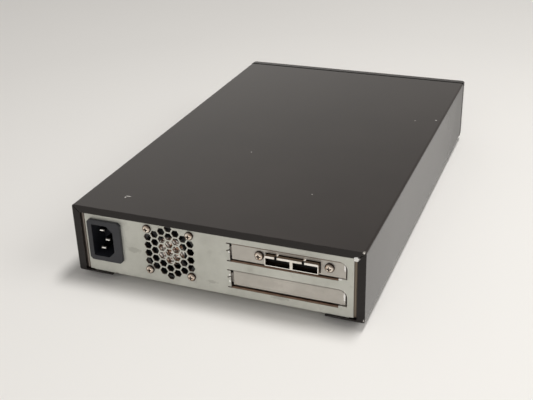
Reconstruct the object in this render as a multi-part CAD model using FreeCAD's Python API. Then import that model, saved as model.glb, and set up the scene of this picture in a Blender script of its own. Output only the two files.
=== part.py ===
"""Desktop tape drive: a half-height cartridge drive in a folded steel case with its own power supply.

Frame: +X to the right as seen from the front, +Y to the back, +Z up, in millimetres.
The origin is under the middle of the whole object, on the surface that it stands on.
The front is at -Y. The case is a black cover over a bare steel pan; the back panel carries the mains
inlet, the fan and two card slots. The drive stands on the left of the pan, the supply on the right.
"""
import FreeCAD
import Part
import math
import os

V = FreeCAD.Vector
X = V(1, 0, 0)
Y = V(0, 1, 0)
Z = V(0, 0, 1)

# ---- Case: driving sizes ----
case_width = 213.0
cover_depth = 332.0        # rear frame to the seam with the front bezel
cover_height = 52.4
bezel_depth = 9.0
foot_height = 5.6
port_reach = 2.2           # how far the port shell stands out past the cover's rear frame
cover_sheet = 1.0
pan_sheet = 1.0
panel_sheet = 1.0
bend_radius = 1.6          # outside radius of the cover's folds
frame_width = 5.5          # the cover's turned-in edge around the back panel
mitre_gap = 0.4            # open joint at the frame's two top corners
hem_width = 27.0           # the cover's turned-in strips under the pan
slip_gap = 0.3             # between the cover and what lies inside it
seam_gap = 0.4             # between the cover and the front bezel
running_gap = 0.05         # radial, between a shaft and its bore
seat_gap = 0.1             # radial, between a screw and its hole

# ---- Derived planes of the case ----
half_width = case_width / 2
y_front = -(bezel_depth + cover_depth + port_reach) / 2
y_seam = y_front + bezel_depth
y_rear = y_seam + cover_depth
z_floor = foot_height
z_roof = z_floor + cover_height
pan_half = half_width - cover_sheet - slip_gap
pan_inside = pan_half - pan_sheet
pan_under = z_floor + cover_sheet
pan_top = pan_under + pan_sheet
wall_top = z_roof - cover_sheet - slip_gap
panel_out = y_rear - cover_sheet
panel_in = panel_out - panel_sheet
pan_front = y_seam + 1.5

# ---- Back panel ----
panel_reveal = 2.4         # strip of the pan's corner post seen beside the panel
panel_trim = 0.7           # the panel's edge beside the inlet stands back by this much more
panel_half = half_width - frame_width - panel_reveal
post_width = 10.6          # turned-in corner posts of the pan, behind the panel
lip_length = 12.0          # panel's foot, folded forward under the pan's raised rear edge
lip_gap = 4.2              # between the foot and the cover's turned-in strips
relief_width = 2.0         # cut beside the foot's fold
relief_height = 0.9
corner_cut_width = 3.2     # panel's trimmed lower corners
corner_cut_height = 1.0
rise_run = 2.0             # length of the joggle that raises the pan's rear edge
rise_end = panel_in - lip_length - 1.0
raised_top = pan_top + panel_sheet
hex_pitch = 6.2            # honeycomb, hole centre to hole centre
hex_flat = 5.1             # honeycomb hole, across flats
hex_side_count = 4         # holes along one side of the six-sided field

# ---- Fan ----
fan_size = 40.0
fan_depth = 20.0
fan_hole_inset = 4.0       # screw holes from the fan's sides
fan_hole_pitch = fan_size - 2 * fan_hole_inset
fan_inset = 73.9           # fan centre from the case's right side
fan_x = half_width - fan_inset
fan_z = z_floor + 26.4
fan_wall = 1.3             # thinnest wall beside the duct
fan_bore = fan_size / 2 - fan_wall
fan_blade_reach = 6.9      # hub to blade tip
fan_tip_gap = 0.8
fan_hub = fan_bore - fan_tip_gap - fan_blade_reach
fan_corner = 2.5
fan_flange = 3.0
fan_plate_set = 1.5        # stator plate behind the back panel
fan_plate = 2.5
fan_strut = 2.4
fan_tube = 3.0             # bearing tube radius
fan_tube_length = 14.0
fan_coil_gap = 1.0         # between the coil and the rotor's cup
fan_coil_length = 10.5
fan_shaft = 1.0
fan_cup_wall = 1.6
fan_coil = fan_hub - fan_cup_wall - fan_coil_gap
fan_blade_sheet = 1.0
fan_root_chord = 11.0
fan_root_pitch = 48.0      # degrees from the plane of rotation
fan_tip_chord = 14.0
fan_tip_pitch = 30.0
fan_blades = 7
fan_screw_head = 3.1       # head radius
screw_shank = 1.5          # shank radius of the small screws
fan_shank = 2.0

# ---- Mains inlet ----
inlet_inset = 24.2         # inlet centre from the case's right side
inlet_x = half_width - inlet_inset
inlet_z = z_floor + 27.3
inlet_flange_x = 26.0
inlet_flange_z = 31.8
inlet_flange_out = 2.3
inlet_body_x = 20.0
inlet_body_z = 27.0
inlet_body_depth = 20.0
socket_x = 16.6            # recess for the mating plug
socket_z = 24.6
socket_depth = 16.0
socket_shift_x = 1.2       # recess centre from the flange centre
socket_chamfer = 4.6
blade_thick = 2.0
blade_wide = 4.0
blade_pitch = 14.0
blade_offset = 4.0         # earth blade from the line of the other two
blade_tip_inset = 3.0      # below the rim
blade_lead_in = 0.55       # chamfer round each blade's tip
blade_tail = 8.0           # solder tails behind the body

# ---- Card slots ----
slot_length = 81.2
slot_height = 14.1
slot_pitch = 20.5
slot_inset = 12.4          # outer end of the slots from the case's left side
slot_low_z = z_floor + 14.6
slot_corner = 5.5
slot_step_x = 5.8          # raised end of the slot's lower edge
slot_step_z = 1.8
slot_fold = 0.8            # rounding of the raised end
sill_depth = 2.1           # lip folded inward along each slot's lower edge
tick_length = 2.5          # cuts that free the two spring fingers at each slot's end
tick_height = 0.8
tick_rise = 1.5            # the middle cut climbs by this much towards the slot
tick_lift = 0.4            # its low end above the slot's middle
strip_height = 1.1         # sprung contact strip that lies on the sill
strip_sheet = 0.3
strip_gap = 0.3            # from the strip's ends to the slot's
card_sheet = 0.9
card_set = 0.3             # card's face behind the panel's face
card_tab = 12.0
card_tab_stop = 4.4        # rail's edge behind the card's face
card_outer_gap = 0.85      # card's folded end from the slot's outer end
card_inner_gap = 1.25      # card's square end from the slot's inner end
card_edge_gap = 0.3        # card's long edges from the slot's
card_edge_round = 0.3
blank_rim = 2.2            # depth of the blank card's turned-back edge
blank_bend = 1.2           # outside radius of that edge
card_tongue_set = 1.8      # tongue's joggle behind the plate
card_tongue_half = 3.5
card_tongue_reach = 6.0
slot_outer_x = -(half_width - slot_inset)
slot_inner_x = slot_outer_x + slot_length
card_face = panel_out - card_set
card_x0 = slot_outer_x + card_outer_gap
card_x1 = slot_inner_x - card_inner_gap
card_low = slot_step_z + card_edge_gap - slot_height / 2      # card's edges from the slot's middle
card_high = slot_height / 2 - card_edge_gap
card_corner = slot_corner - card_outer_gap
card_screw_y = card_face - card_tab + 5.0
card_z = slot_low_z + slot_pitch

# ---- Data ports on the upper card ----
port_x = slot_outer_x + 36.8
port_z = card_z + 0.35     # middle of the shell
port_pitch = 18.85
port_open_x = 16.9
port_open_z = 5.1
port_wall = 0.6
port_roof = 1.6
port_notch = 1.7
port_notch_shift = 1.3     # notch from its opening's middle
port_cut_gap = 0.5         # plate's cut-out round the shell
port_mouth = y_rear + port_reach
port_insert_depth = 5.2    # plastic body below the mouth
port_back = 12.0           # shell behind the card
port_screw_pitch = 48.3
port_screw_shift = -0.9    # pair of screws from the shell's middle
port_screw_z = card_z + 1.5
port_screw_head = 3.3
board_thick = 1.6
card_board_length = 62.0
card_board_half = 33.0
board_socket_half = 12.0   # cable socket at the board's front end
board_socket_length = 10.0
board_socket_height = 6.5
board_socket_set = 1.0
board_chip = 16.0
board_chip_set = 22.0
board_lug_half = 3.5       # card's lugs that the board hangs under
board_lug_length = 9.0
rail_turn = 6.5            # card rail's foot on the pan

# ---- The drive ----
drive_width = 146.0
drive_height = 41.3
drive_length = 200.0
drive_inset = 10.5         # drive's left side from the case's left side
drive_lift = 3.2           # drive's underside above the pan
drive_x0 = -half_width + drive_inset
drive_x1 = drive_x0 + drive_width
drive_z0 = pan_top + drive_lift
drive_z1 = drive_z0 + drive_height
drive_y0 = y_front + 6.6
drive_y1 = drive_y0 + drive_length
casting_wall = 3.0
casting_floor = 2.0
lid_sheet = 0.8
floor_z = drive_z0 + 7.5   # top of the casting's floor
lid_under = drive_z1 - lid_sheet

# ---- Cartridge path ----
cartridge_x = 105.4
cartridge_z = 21.5
bay_shift = -8.0           # bay centre from the drive's centre
bay_x = (drive_x0 + drive_x1) / 2 + bay_shift
slot_clear = 0.9           # gap round the cartridge in its slot
bay_floor = drive_z0 + 15.8     # underside of a loaded cartridge's path
bay_roof = bay_floor + cartridge_z + 0.3
mouth_z0 = bay_floor - 0.4
mouth_z1 = mouth_z0 + 23.2
mouth_half = cartridge_x / 2 + slot_clear
bezel_wall = 2.2
bezel_corner = 3.0
bezel_chin = 3.5           # rise of the bezel's lower front edge
bezel_gap = 0.4            # between the bezel and the drive's face
tongue_width = 14.0
tongue_sheet = 1.6
tongue_reach = 8.0
face_set = 0.6             # drive's face behind the bezel's face
face_sheet = 1.4
face_y = y_front + face_set
carrier_sheet = 0.8
carrier_length = 66.0
carrier_travel = 14.0
carrier_y0 = y_front + 33.6
carrier_half = cartridge_x / 2 + 0.5
carrier_lip = 6.0
door_gap = 0.3
door_thick = 2.0
door_inset = 0.5
door_pivot_set = 2.0       # pivot behind the door's face
door_barrel = 1.0          # barrel radius
door_pin = 0.6             # pivot pin radius
door_swing = 90.0

# ---- Reels, head and rollers ----
reel_radius = 43.0
reel_flange = 1.2
tape_width = 13.0
hub_radius = 22.0
reel_x = bay_x - 10.0
reel_y = carrier_y0 + carrier_length + carrier_travel + 2.5 + reel_radius
motor_radius = 22.0
motor_height = 9.0
spindle = 3.0
clutch_radius = 19.0
clutch_teeth = 24
roller_radius = 5.0
roller_pin = 1.5
roller_rim = 0.8           # flange's reach and thickness
roller_margin = 1.0        # roller past the tape's edges
roller_play = 0.3          # below and above each roller
roller_seat = 3.2          # seat radius
roller_cap = 2.6           # cap radius
roller_cap_sheet = 1.0
roller_line = 13.5         # outer rollers from the drive's right side
roller_steps = ((-7.0, -37.0), (0.0, -23.0), (0.0, 16.0), (-8.0, 34.0))   # from that line and the reel
head_travel = 6.0
head_rod = 1.2             # guide rod radius
tape_z0 = bay_floor + 3.2

# ---- Loader gearing ----
gear_module = 1.0
gear_teeth = 14
gear_wide = 4.0
gear_backlash = 0.2        # play between rack and pinion, along the pitch line
gear_addendum = 0.8
gear_root_gap = 0.25       # between a tooth's tip and the facing root
pressure_angle = math.radians(20.0)

# ---- Buttons and lights ----
button_x = 13.0
button_z = 6.0
button_travel = 1.0
button_gap = 0.25
button_board_sheet = 1.2
button_board_y = face_y + face_sheet + 3.7 + button_travel
light_radius = 1.2
light_head = 1.5           # flange of a light pipe behind its hole
power_radius = 6.0
power_travel = 1.5
power_height = 15.0        # button's centre above the cover's underside
power_z = z_floor + power_height
power_flange = 1.4         # stop flange past the button
power_reach = 4.2          # flange behind the bezel's wall
power_flange_sheet = 0.8
switch_size = 13.0
switch_depth = 11.0
switch_bracket = 1.2
face_margin = 1.0          # drive's face past the drive's body, each side
power_x = (drive_x1 + face_margin + half_width) / 2
switch_y = y_front + bezel_wall + power_reach + power_flange_sheet + power_travel + 0.8
light_offset = 13.0        # bezel's light from the button
vent_margin = 10.75        # vents' ends from the bezel's side and the drive's face
vent_count = 5
vent_pitch = 4.0
vent_height = 1.8
vent_low = 27.0

# ---- Power supply ----
supply_x0 = drive_x1 + 11.0
supply_x1 = pan_inside - 0.5
supply_length = 165.0
supply_y1 = y_rear - 62.0
supply_y0 = supply_y1 - supply_length
supply_height = 36.0
supply_sheet = 1.2
standoff = 5.0
standoff_radius = 2.5
heatsink_web = 2.0
heatsink_reach = 3.5       # fins either side of the web's middle
heatsink_length = 46.0
heatsink_height = 22.0
heatsink_fins = 8
fin_sheet = 1.2
part_gap = 1.0             # between the supply's parts
socket_margin = 7.0        # sockets from the channel's walls
socket_set = 4.0           # sockets from the board's ends
socket_space = 4.0         # between a socket and the next part
post_set = 8.0             # standoffs from the channel's ends
board_set = 3.0            # supply board from the channel's ends
board_side = 0.8           # and from its walls
supply_vents = 12
supply_vent_width = 4.0
supply_vent_set = 16.0     # first and last vent from the channel's ends
transformer_length = 24.0
transformer_height = 19.0
winding_out = 2.5          # winding past the core, each end
choke_length = 18.0
choke_height = 15.0
reservoir_height = 23.0
small_can_height = 16.0
socket_length = 9.0
socket_height = 9.0
lead_radius = 1.3
output_radius = 2.2
data_radius = 2.6
fan_lead_radius = 1.0
switch_lead_radius = 1.2


# ---------------------------------------------------------------- shape helpers
def block(x0, x1, y0, y1, z0, z1):
    """A box between two corners."""
    return Part.makeBox(x1 - x0, y1 - y0, z1 - z0, V(x0, y0, z0))


def slab(cx, cz, wide, high, y0, y1):
    """A box centred on (cx, cz) in the plane of the panel, from y0 to y1."""
    return block(cx - wide / 2, cx + wide / 2, y0, y1, cz - high / 2, cz + high / 2)


def rod(radius, start, direction, length):
    """A cylinder from a start point along a direction."""
    return Part.makeCylinder(radius, length, V(*start), direction)


def prism(points, direction):
    """A closed polygon swept along a vector."""
    corners = [V(*p) for p in points]
    return Part.Face(Part.makePolygon(corners + corners[:1])).extrude(direction)


def round_edges(shape, axis, radius, keep=lambda edge: True):
    """Rounds the straight edges that run along an axis and pass the test."""
    picked = []
    for edge in shape.Edges:
        if not isinstance(edge.Curve, Part.Line):
            continue
        along = abs(edge.Curve.Direction.dot(axis)) > 0.999
        if along and keep(edge):
            picked.append(edge)
    return shape.makeFillet(radius, picked) if picked else shape


def joined(first, *others):
    """One solid from pieces that touch or overlap."""
    return first.fuse(list(others)).removeSplitter() if others else first


def without(shape, *tools):
    """A shape with other shapes cut out of it."""
    return shape.cut(list(tools)) if tools else shape


def group(*solids):
    """Separate solids kept in one node."""
    return Part.makeCompound(list(solids))


def pan_head_screw(head_radius, head_high, shank_radius, shank_length, seat, direction):
    """A domed screw: its head stands on the seat, and its shank runs on behind it."""
    out = V(direction.x, direction.y, direction.z)
    profile = [V(0, 0, 0), V(head_radius, 0, 0), V(head_radius, 0, head_high * 0.4)]
    side = Part.makePolygon(profile)
    middle = V(head_radius * 0.72, 0, head_high * 0.84)
    dome = Part.Arc(profile[-1], middle, V(0, 0, head_high)).toShape()
    close = Part.makeLine(V(0, 0, head_high), V(0, 0, 0))
    head = Part.Face(Part.Wire(side.Edges + [dome, close])).revolve(V(0, 0, 0), Z, 360)
    screw = joined(head, rod(shank_radius, (0, 0, -shank_length), Z, shank_length))
    blade = head_radius * 0.16
    reach = head_radius * 0.5
    depth = head_high * 0.55
    cross = [block(-reach, reach, -blade, blade, head_high - depth, head_high + 1),
             block(-blade, blade, -reach, reach, head_high - depth, head_high + 1)]
    screw = without(screw, joined(*cross))
    screw.Placement = FreeCAD.Placement(V(*seat), FreeCAD.Rotation(Z, out))
    return screw


def cable(radius, points):
    """A round cable on a route of straight runs joined by arcs tangent to both runs."""
    route = [V(*p) for p in points]
    edges = []
    start = route[0]
    for i in range(1, len(route) - 1):
        back = route[i - 1] - route[i]
        ahead = route[i + 1] - route[i]
        shorter = min(back.Length, ahead.Length)
        back.normalize()
        ahead.normalize()
        trim = 0.45 * shorter
        bisector = (back + ahead).normalize()
        half_open = back.getAngle(ahead) / 2
        bend = trim * math.tan(half_open)
        centre = route[i] + bisector * (trim / math.cos(half_open))
        enter = route[i] + back * trim
        leave = route[i] + ahead * trim
        edges.append(Part.makeLine(start, enter))
        edges.append(Part.Arc(enter, centre - bisector * bend, leave).toShape())
        start = leave
        bend_radii.append(round(bend, 1))
    edges.append(Part.makeLine(start, route[-1]))
    path = Part.Wire(edges)
    first = (route[1] - route[0]).normalize()
    section = Part.Wire(Part.makeCircle(radius, route[0], first))
    return path.makePipeShell([section], True, False)


bend_radii = []


# ---------------------------------------------------------------- the case
def top_cover():
    """Folded cover: roof, two sides, a mitred rear frame and two strips turned in under the pan."""
    shell = block(-half_width, half_width, y_seam, y_rear, z_floor, z_roof)
    shell = round_edges(shell, Y, bend_radius)
    inner = block(-half_width + cover_sheet, half_width - cover_sheet,
                  y_seam - 1, panel_out, z_floor + cover_sheet, z_roof - cover_sheet)
    inner = round_edges(inner, Y, bend_radius - cover_sheet)
    hem_inner = half_width - hem_width
    underside = block(-hem_inner, hem_inner, y_seam - 1, y_rear + 1, z_floor - 1, z_floor + 2 * cover_sheet)
    frame_inner = half_width - frame_width
    frame_top = z_roof - frame_width
    window = block(-frame_inner, frame_inner, panel_out - 1, y_rear + 1, z_floor + cover_sheet, frame_top)
    cover = without(shell, inner, underside, window)
    for side in (-1, 1):
        start = V(side * (frame_inner - 1), 0, frame_top - 1)
        across = V(mitre_gap / 2, 0, -side * mitre_gap / 2)
        reach = V(side * (frame_width - cover_sheet / 2), 0, frame_width - cover_sheet / 2)
        corners = [start + across, start - across, start - across + reach, start + across + reach]
        slit = prism([(c.x, panel_out - 1, c.z) for c in corners], V(0, cover_sheet + 2, 0))
        cover = without(cover, slit)
    holes = [rod(screw_shank + seat_gap, (x, y, z_floor - 1), Z, cover_sheet + 2)
             for x, y in hem_screw_places()]
    cover = without(cover, *holes)
    return round_edges(cover, Y, cover_sheet * 0.4,
                       lambda e: abs(abs(e.CenterOfMass.x) - hem_inner) < 0.01
                       and e.CenterOfMass.z < z_floor + 0.01)


def hem_screw_places():
    """Where the cover is screwed up into the pan: three places along each side."""
    x = half_width - hem_width + 6.0
    ys = [y_seam + 60.0, (y_seam + y_rear) / 2, y_rear - 60.0]
    return [(side * x, y) for side in (-1, 1) for y in ys]


def cover_screws():
    """The six screws under the case."""
    return group(*[pan_head_screw(2.8, 1.8, screw_shank, cover_sheet + pan_sheet - 0.1, (x, y, z_floor),
                                  V(0, 0, -1))
                   for x, y in hem_screw_places()])


def base_pan():
    """Folded pan: floor with a raised rear edge, two full-height sides and turned-in corner posts."""
    raised = panel_sheet
    lower = [(0, pan_front, pan_under), (0, rise_end - rise_run, pan_under),
             (0, rise_end, pan_under + raised), (0, panel_in, pan_under + raised)]
    upper = [(x, y, z + pan_sheet) for x, y, z in reversed(lower)]
    floor = prism(lower + upper, V(2 * pan_half, 0, 0))
    floor.translate(V(-pan_half, 0, 0))
    pieces = []
    for side in (-1, 1):
        wall = block(0, pan_sheet, pan_front, panel_in, pan_under, wall_top)
        wall.translate(V(pan_inside if side > 0 else -pan_half, 0, 0))
        post_x0, post_x1 = sorted((side * pan_half, side * (pan_half - post_width)))
        post = block(post_x0, post_x1, panel_in - pan_sheet, panel_in, pan_under + raised, wall_top)
        ear_x0, ear_x1 = sorted((side * pan_half, side * (pan_half - 14.0)))
        ear = block(ear_x0, ear_x1, pan_front, pan_front + pan_sheet, pan_under, pan_under + 3.0)
        pieces += [wall, post, ear]
    pan = joined(floor, *pieces)
    pan = round_edges(pan, Y, bend_radius - slip_gap,
                      lambda e: abs(abs(e.CenterOfMass.x) - pan_half) < 0.01 and e.CenterOfMass.z < pan_top
                      and e.Length > cover_depth / 2)
    holes = [rod(screw_shank + seat_gap, (x, y, pan_under - 1), Z, pan_sheet + 2)
             for x, y in hem_screw_places()]
    return without(pan, *holes)


def honeycomb_centres():
    """Centres of a six-sided field of holes in upright columns."""
    n = hex_side_count
    column_step = hex_pitch * math.sqrt(3) / 2
    centres = []
    for column in range(-(n - 1), n):
        count = 2 * n - 1 - abs(column)
        for row in range(count):
            centres.append((fan_x + column * column_step, fan_z + (row - (count - 1) / 2) * hex_pitch))
    return centres


def hex_hole(cx, cz, y0, y1):
    """A six-sided hole with flats at its top and bottom."""
    reach = hex_flat / math.sqrt(3)
    points = [(cx + reach * math.cos(math.radians(a)), y0, cz + reach * math.sin(math.radians(a)))
              for a in range(0, 360, 60)]
    return prism(points, V(0, y1 - y0, 0))


def fan_screw_places():
    """The four corners of the fan's screw pattern."""
    half = fan_hole_pitch / 2
    return [(fan_x + sx * half, fan_z + sz * half) for sx in (-1, 1) for sz in (-1, 1)]


def slot_outline(x0, x1, z0, z1, corner, y):
    """A rectangle with its upper outer corner rounded, as a wire."""
    slack = corner * (1 - math.sqrt(0.5))
    start = V(x0, y, z1 - corner)
    end = V(x0 + corner, y, z1)
    arc = Part.Arc(start, V(x0 + slack, y, z1 - slack), end).toShape()
    sides = Part.makePolygon([end, V(x1, y, z1), V(x1, y, z0), V(x0, y, z0), start])
    return Part.Wire(sides.Edges + [arc])


def slot_window(middle_z):
    """One card slot: rounded at its outer top corner, with its lower edge raised at that end."""
    z0 = middle_z - slot_height / 2
    z1 = middle_z + slot_height / 2
    y = panel_in - 1
    through = V(0, panel_sheet + 2, 0)
    outline = slot_outline(slot_outer_x, slot_inner_x, z0 + slot_step_z, z1, slot_corner, y)
    window = Part.Face(outline).extrude(through)
    low = block(slot_outer_x + slot_step_x, slot_inner_x, y, panel_out + 1, z0, z0 + slot_step_z + 1)
    cuts = [low]
    for z in (z0, z1 - tick_height):
        cuts.append(block(slot_inner_x - 0.5, slot_inner_x + tick_length, y, panel_out + 1,
                          z, z + tick_height))
    z = middle_z + tick_lift
    near = slot_inner_x - 0.5
    far = slot_inner_x + tick_length
    cuts.append(prism([(far, y, z), (far, y, z + tick_height), (near, y, z + tick_height + tick_rise),
                       (near, y, z + tick_rise)], through))
    return joined(window, *cuts)


def slot_sill(middle_z):
    """The lip folded inward along a slot's lower edge, which carries the contact strip."""
    z0 = middle_z - slot_height / 2
    return block(slot_outer_x + slot_step_x + strip_gap, slot_inner_x - strip_gap, panel_in - sill_depth,
                 panel_in + 0.01, z0 - panel_sheet, z0)


def slot_strips():
    """Arched contact strips that lie on the two sills, under the cards."""
    made = []
    x0 = slot_outer_x + slot_step_x + strip_gap
    length = slot_length - slot_step_x - 2 * strip_gap
    y0 = panel_in - sill_depth + 0.1
    y1 = panel_out - card_set
    middle = (y0 + y1) / 2
    for middle_z in (slot_low_z, card_z):
        z0 = middle_z - slot_height / 2
        arches = []
        for inset in (0.0, strip_sheet):
            foot0 = V(x0, y0 + inset, z0)
            foot1 = V(x0, y1 - inset, z0)
            arc = Part.Arc(foot0, V(x0, middle, z0 + strip_height - inset), foot1).toShape()
            arches.append(Part.Face(Part.Wire([arc, Part.makeLine(foot1, foot0)])).extrude(V(length, 0, 0)))
        made.append(without(*arches))
    return group(*made)


def rear_panel():
    """Bare steel back panel with the inlet's cut-out, the honeycomb and the two card slots."""
    sheet = block(-panel_half, panel_half - panel_trim, panel_in, panel_out, pan_under, wall_top)
    lip_half = half_width - hem_width - lip_gap
    lip = block(-lip_half, lip_half, panel_in - lip_length, panel_out, pan_under, pan_under + panel_sheet)
    reliefs = []
    for side in (-1, 1):
        x0, x1 = sorted((side * lip_half, side * (lip_half + relief_width)))
        reliefs.append(block(x0, x1, panel_in - 1, panel_out + 1, pan_under - 1, pan_under + relief_height))
        edge = panel_half if side < 0 else panel_half - panel_trim
        x0, x1 = sorted((side * (edge - corner_cut_width), side * (edge + 1)))
        reliefs.append(block(x0, x1, panel_in - 1, panel_out + 1, pan_under - 1,
                             pan_under + corner_cut_height))
    panel = joined(sheet, lip, slot_sill(slot_low_z), slot_sill(card_z))
    panel = without(panel, *reliefs)
    panel = round_edges(panel, X, panel_sheet * 0.95,
                        lambda e: abs(e.CenterOfMass.y - panel_out) < 0.01
                        and abs(e.CenterOfMass.z - pan_under) < 0.01 and abs(e.CenterOfMass.x) < 1)
    tools = [hex_hole(cx, cz, panel_in - 1, panel_out + 1) for cx, cz in honeycomb_centres()]
    tools += [rod(fan_shank + seat_gap, (cx, panel_in - 1, cz), Y, panel_sheet + 2)
              for cx, cz in fan_screw_places()]
    tools.append(slab(inlet_x + socket_shift_x, inlet_z, inlet_body_x + 0.2, inlet_body_z + 0.2,
                      panel_in - 1, panel_out + 1))
    tools += [slot_window(slot_low_z), slot_window(card_z)]
    panel = without(panel, *tools)
    raised = [z - slot_height / 2 + slot_step_z for z in (slot_low_z, card_z)]
    return round_edges(panel, X, slot_fold,
                       lambda e: abs(e.CenterOfMass.y - panel_out) < 0.01
                       and e.CenterOfMass.x < slot_outer_x + slot_step_x
                       and min(abs(e.CenterOfMass.z - z) for z in raised) < 0.01)


def front_bezel():
    """Moulded front: a hollow frame round the drive's face, with vents and the power button's hole."""
    wall = bezel_wall
    shell = block(-half_width, half_width, y_front, y_seam - seam_gap, z_floor, z_roof)
    shell = round_edges(shell, Z, bezel_corner, lambda e: e.CenterOfMass.y < y_front + 0.1)
    shell = round_edges(shell, X, bezel_corner * 0.4,
                        lambda e: e.CenterOfMass.y < y_front + 0.1 and e.CenterOfMass.z > z_roof - 1)
    slope = bezel_chin / bezel_depth
    under = prism([(0, y_seam, z_floor - 0.01), (0, y_front - 1, z_floor - 0.01),
                   (0, y_front - 1, z_floor + bezel_chin + slope)], V(case_width + 2, 0, 0))
    under.translate(V(-half_width - 1, 0, 0))
    hollow = block(-half_width + wall, half_width - wall, y_front + wall, y_seam + 1,
                   z_floor + bezel_chin + wall, z_roof - wall)
    face_x0, face_x1, face_z0, face_z1 = drive_face_box()
    window = block(face_x0 - bezel_gap, face_x1 + bezel_gap, y_front - 1, y_seam + 1,
                   face_z0 - bezel_gap, face_z1 + bezel_gap)
    bezel = without(shell, under, hollow, window)
    bore = power_radius + button_gap
    collar = rod(bore + tongue_sheet, (power_x, y_front + wall, power_z), Y, power_reach - 0.2)
    bezel = joined(bezel, collar, *bezel_tongues())
    hole = rod(bore, (power_x, y_front - 1, power_z), Y, wall + power_reach + 2)
    light = rod(light_radius, (power_x + light_offset, y_front - 1, power_z), Y, wall + 2)
    vent_half = (half_width - face_x1) / 2 - vent_margin
    vents = []
    for row in range(vent_count):
        z = z_floor + vent_low + row * vent_pitch
        vent = block(power_x - vent_half, power_x + vent_half, y_front - 1, y_front + wall + 1,
                     z - vent_height / 2, z + vent_height / 2)
        vents.append(round_edges(vent, Y, vent_height * 0.47))
    return without(bezel, hole, light, *vents)


def bezel_tongues():
    """Tongues that hold the bezel: four under the cover's roof and one inside each wall of the pan."""
    top = z_roof - cover_sheet - slip_gap
    y0 = y_seam - 3.0
    tongues = []
    for share in (-0.78, -0.28, 0.28, 0.78):
        x = share * half_width
        x0, x1 = x - tongue_width / 2, x + tongue_width / 2
        tongues.append(block(x0, x1, y0, y_seam + tongue_reach, top - tongue_sheet, top))
        tongues.append(block(x0, x1, y0, y_seam - seam_gap, top - tongue_sheet, z_roof - bezel_wall + 0.01))
    z0, z1 = z_floor + 12.0, z_floor + 30.0
    for side in (-1, 1):
        inner = side * (pan_inside - tongue_sheet)
        x0, x1 = sorted((side * pan_inside, inner))
        tongues.append(block(x0, x1, y0, y_seam + tongue_reach, z0, z1))
        x0, x1 = sorted((inner, side * (half_width - bezel_wall + 0.01)))
        tongues.append(block(x0, x1, y0, y_seam - seam_gap, z0, z1))
    return tongues


def feet():
    """Four rubber feet, screwed under the cover's turned-in strips."""
    made = []
    for x, y in foot_places():
        foot = Part.makeCone(8.2, 9.0, foot_height, V(x, y, 0), Z)
        ring = rod(3.4, (x, y, -1), Z, 3.2)
        made.append(without(foot, ring))
    return group(*made)


def foot_places():
    """Foot centres, near the case's corners."""
    x = half_width - 14.0
    return [(side * x, y) for side in (-1, 1) for y in (y_seam + 26.0, y_rear - 26.0)]


# ---------------------------------------------------------------- behind the panel
def inlet_housing():
    """Snap-in mains inlet: bevelled flange, a recess with two cut corners, and side latches."""
    cx = inlet_x + socket_shift_x
    flange = slab(inlet_x, inlet_z, inlet_flange_x, inlet_flange_z, panel_out, panel_out + inlet_flange_out)
    flange = flange.makeChamfer(1.8, [e for e in flange.Edges if abs(e.tangentAt(e.FirstParameter).y) > 0.99])
    body = slab(cx, inlet_z, inlet_body_x, inlet_body_z, panel_out - inlet_body_depth, panel_out + 0.01)
    half_x = socket_x / 2
    half_z = socket_z / 2
    cut = socket_chamfer
    outline = [(cx + half_x, -half_z), (cx + half_x, half_z), (cx - half_x + cut, half_z),
               (cx - half_x, half_z - cut), (cx - half_x, -half_z + cut), (cx - half_x + cut, -half_z)]
    rim = panel_out + inlet_flange_out
    recess = prism([(x, rim - socket_depth, inlet_z + z) for x, z in outline], V(0, socket_depth + 1, 0))
    housing = without(joined(flange, body), recess)
    for side in (-1, 1):
        z = inlet_z + side * inlet_body_z / 2
        latch = prism([(cx - 4, panel_in - 0.3, z), (cx - 4, panel_in - 0.3, z + side * 1.6),
                       (cx - 4, panel_in - 9.0, z)], V(8, 0, 0))
        housing = joined(housing, latch)
    return without(housing, *inlet_blade_solids())


def inlet_blade_solids():
    """The three contact blades, through the body's rear wall."""
    cx = inlet_x + socket_shift_x
    line_x = cx + blade_offset / 2
    tip = panel_out + inlet_flange_out - blade_tip_inset
    tail = panel_out - inlet_body_depth - blade_tail
    places = [(line_x, inlet_z + blade_pitch / 2), (line_x, inlet_z - blade_pitch / 2),
              (line_x - blade_offset, inlet_z)]
    blades = [slab(x, z, blade_wide, blade_thick, tail, tip) for x, z in places]
    return [b.makeChamfer(blade_lead_in, [e for e in b.Edges if abs(e.CenterOfMass.y - tip) < 0.01])
            for b in blades]


def inlet_blades():
    """The three blades as one node of separate solids."""
    return group(*inlet_blade_solids())


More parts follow.
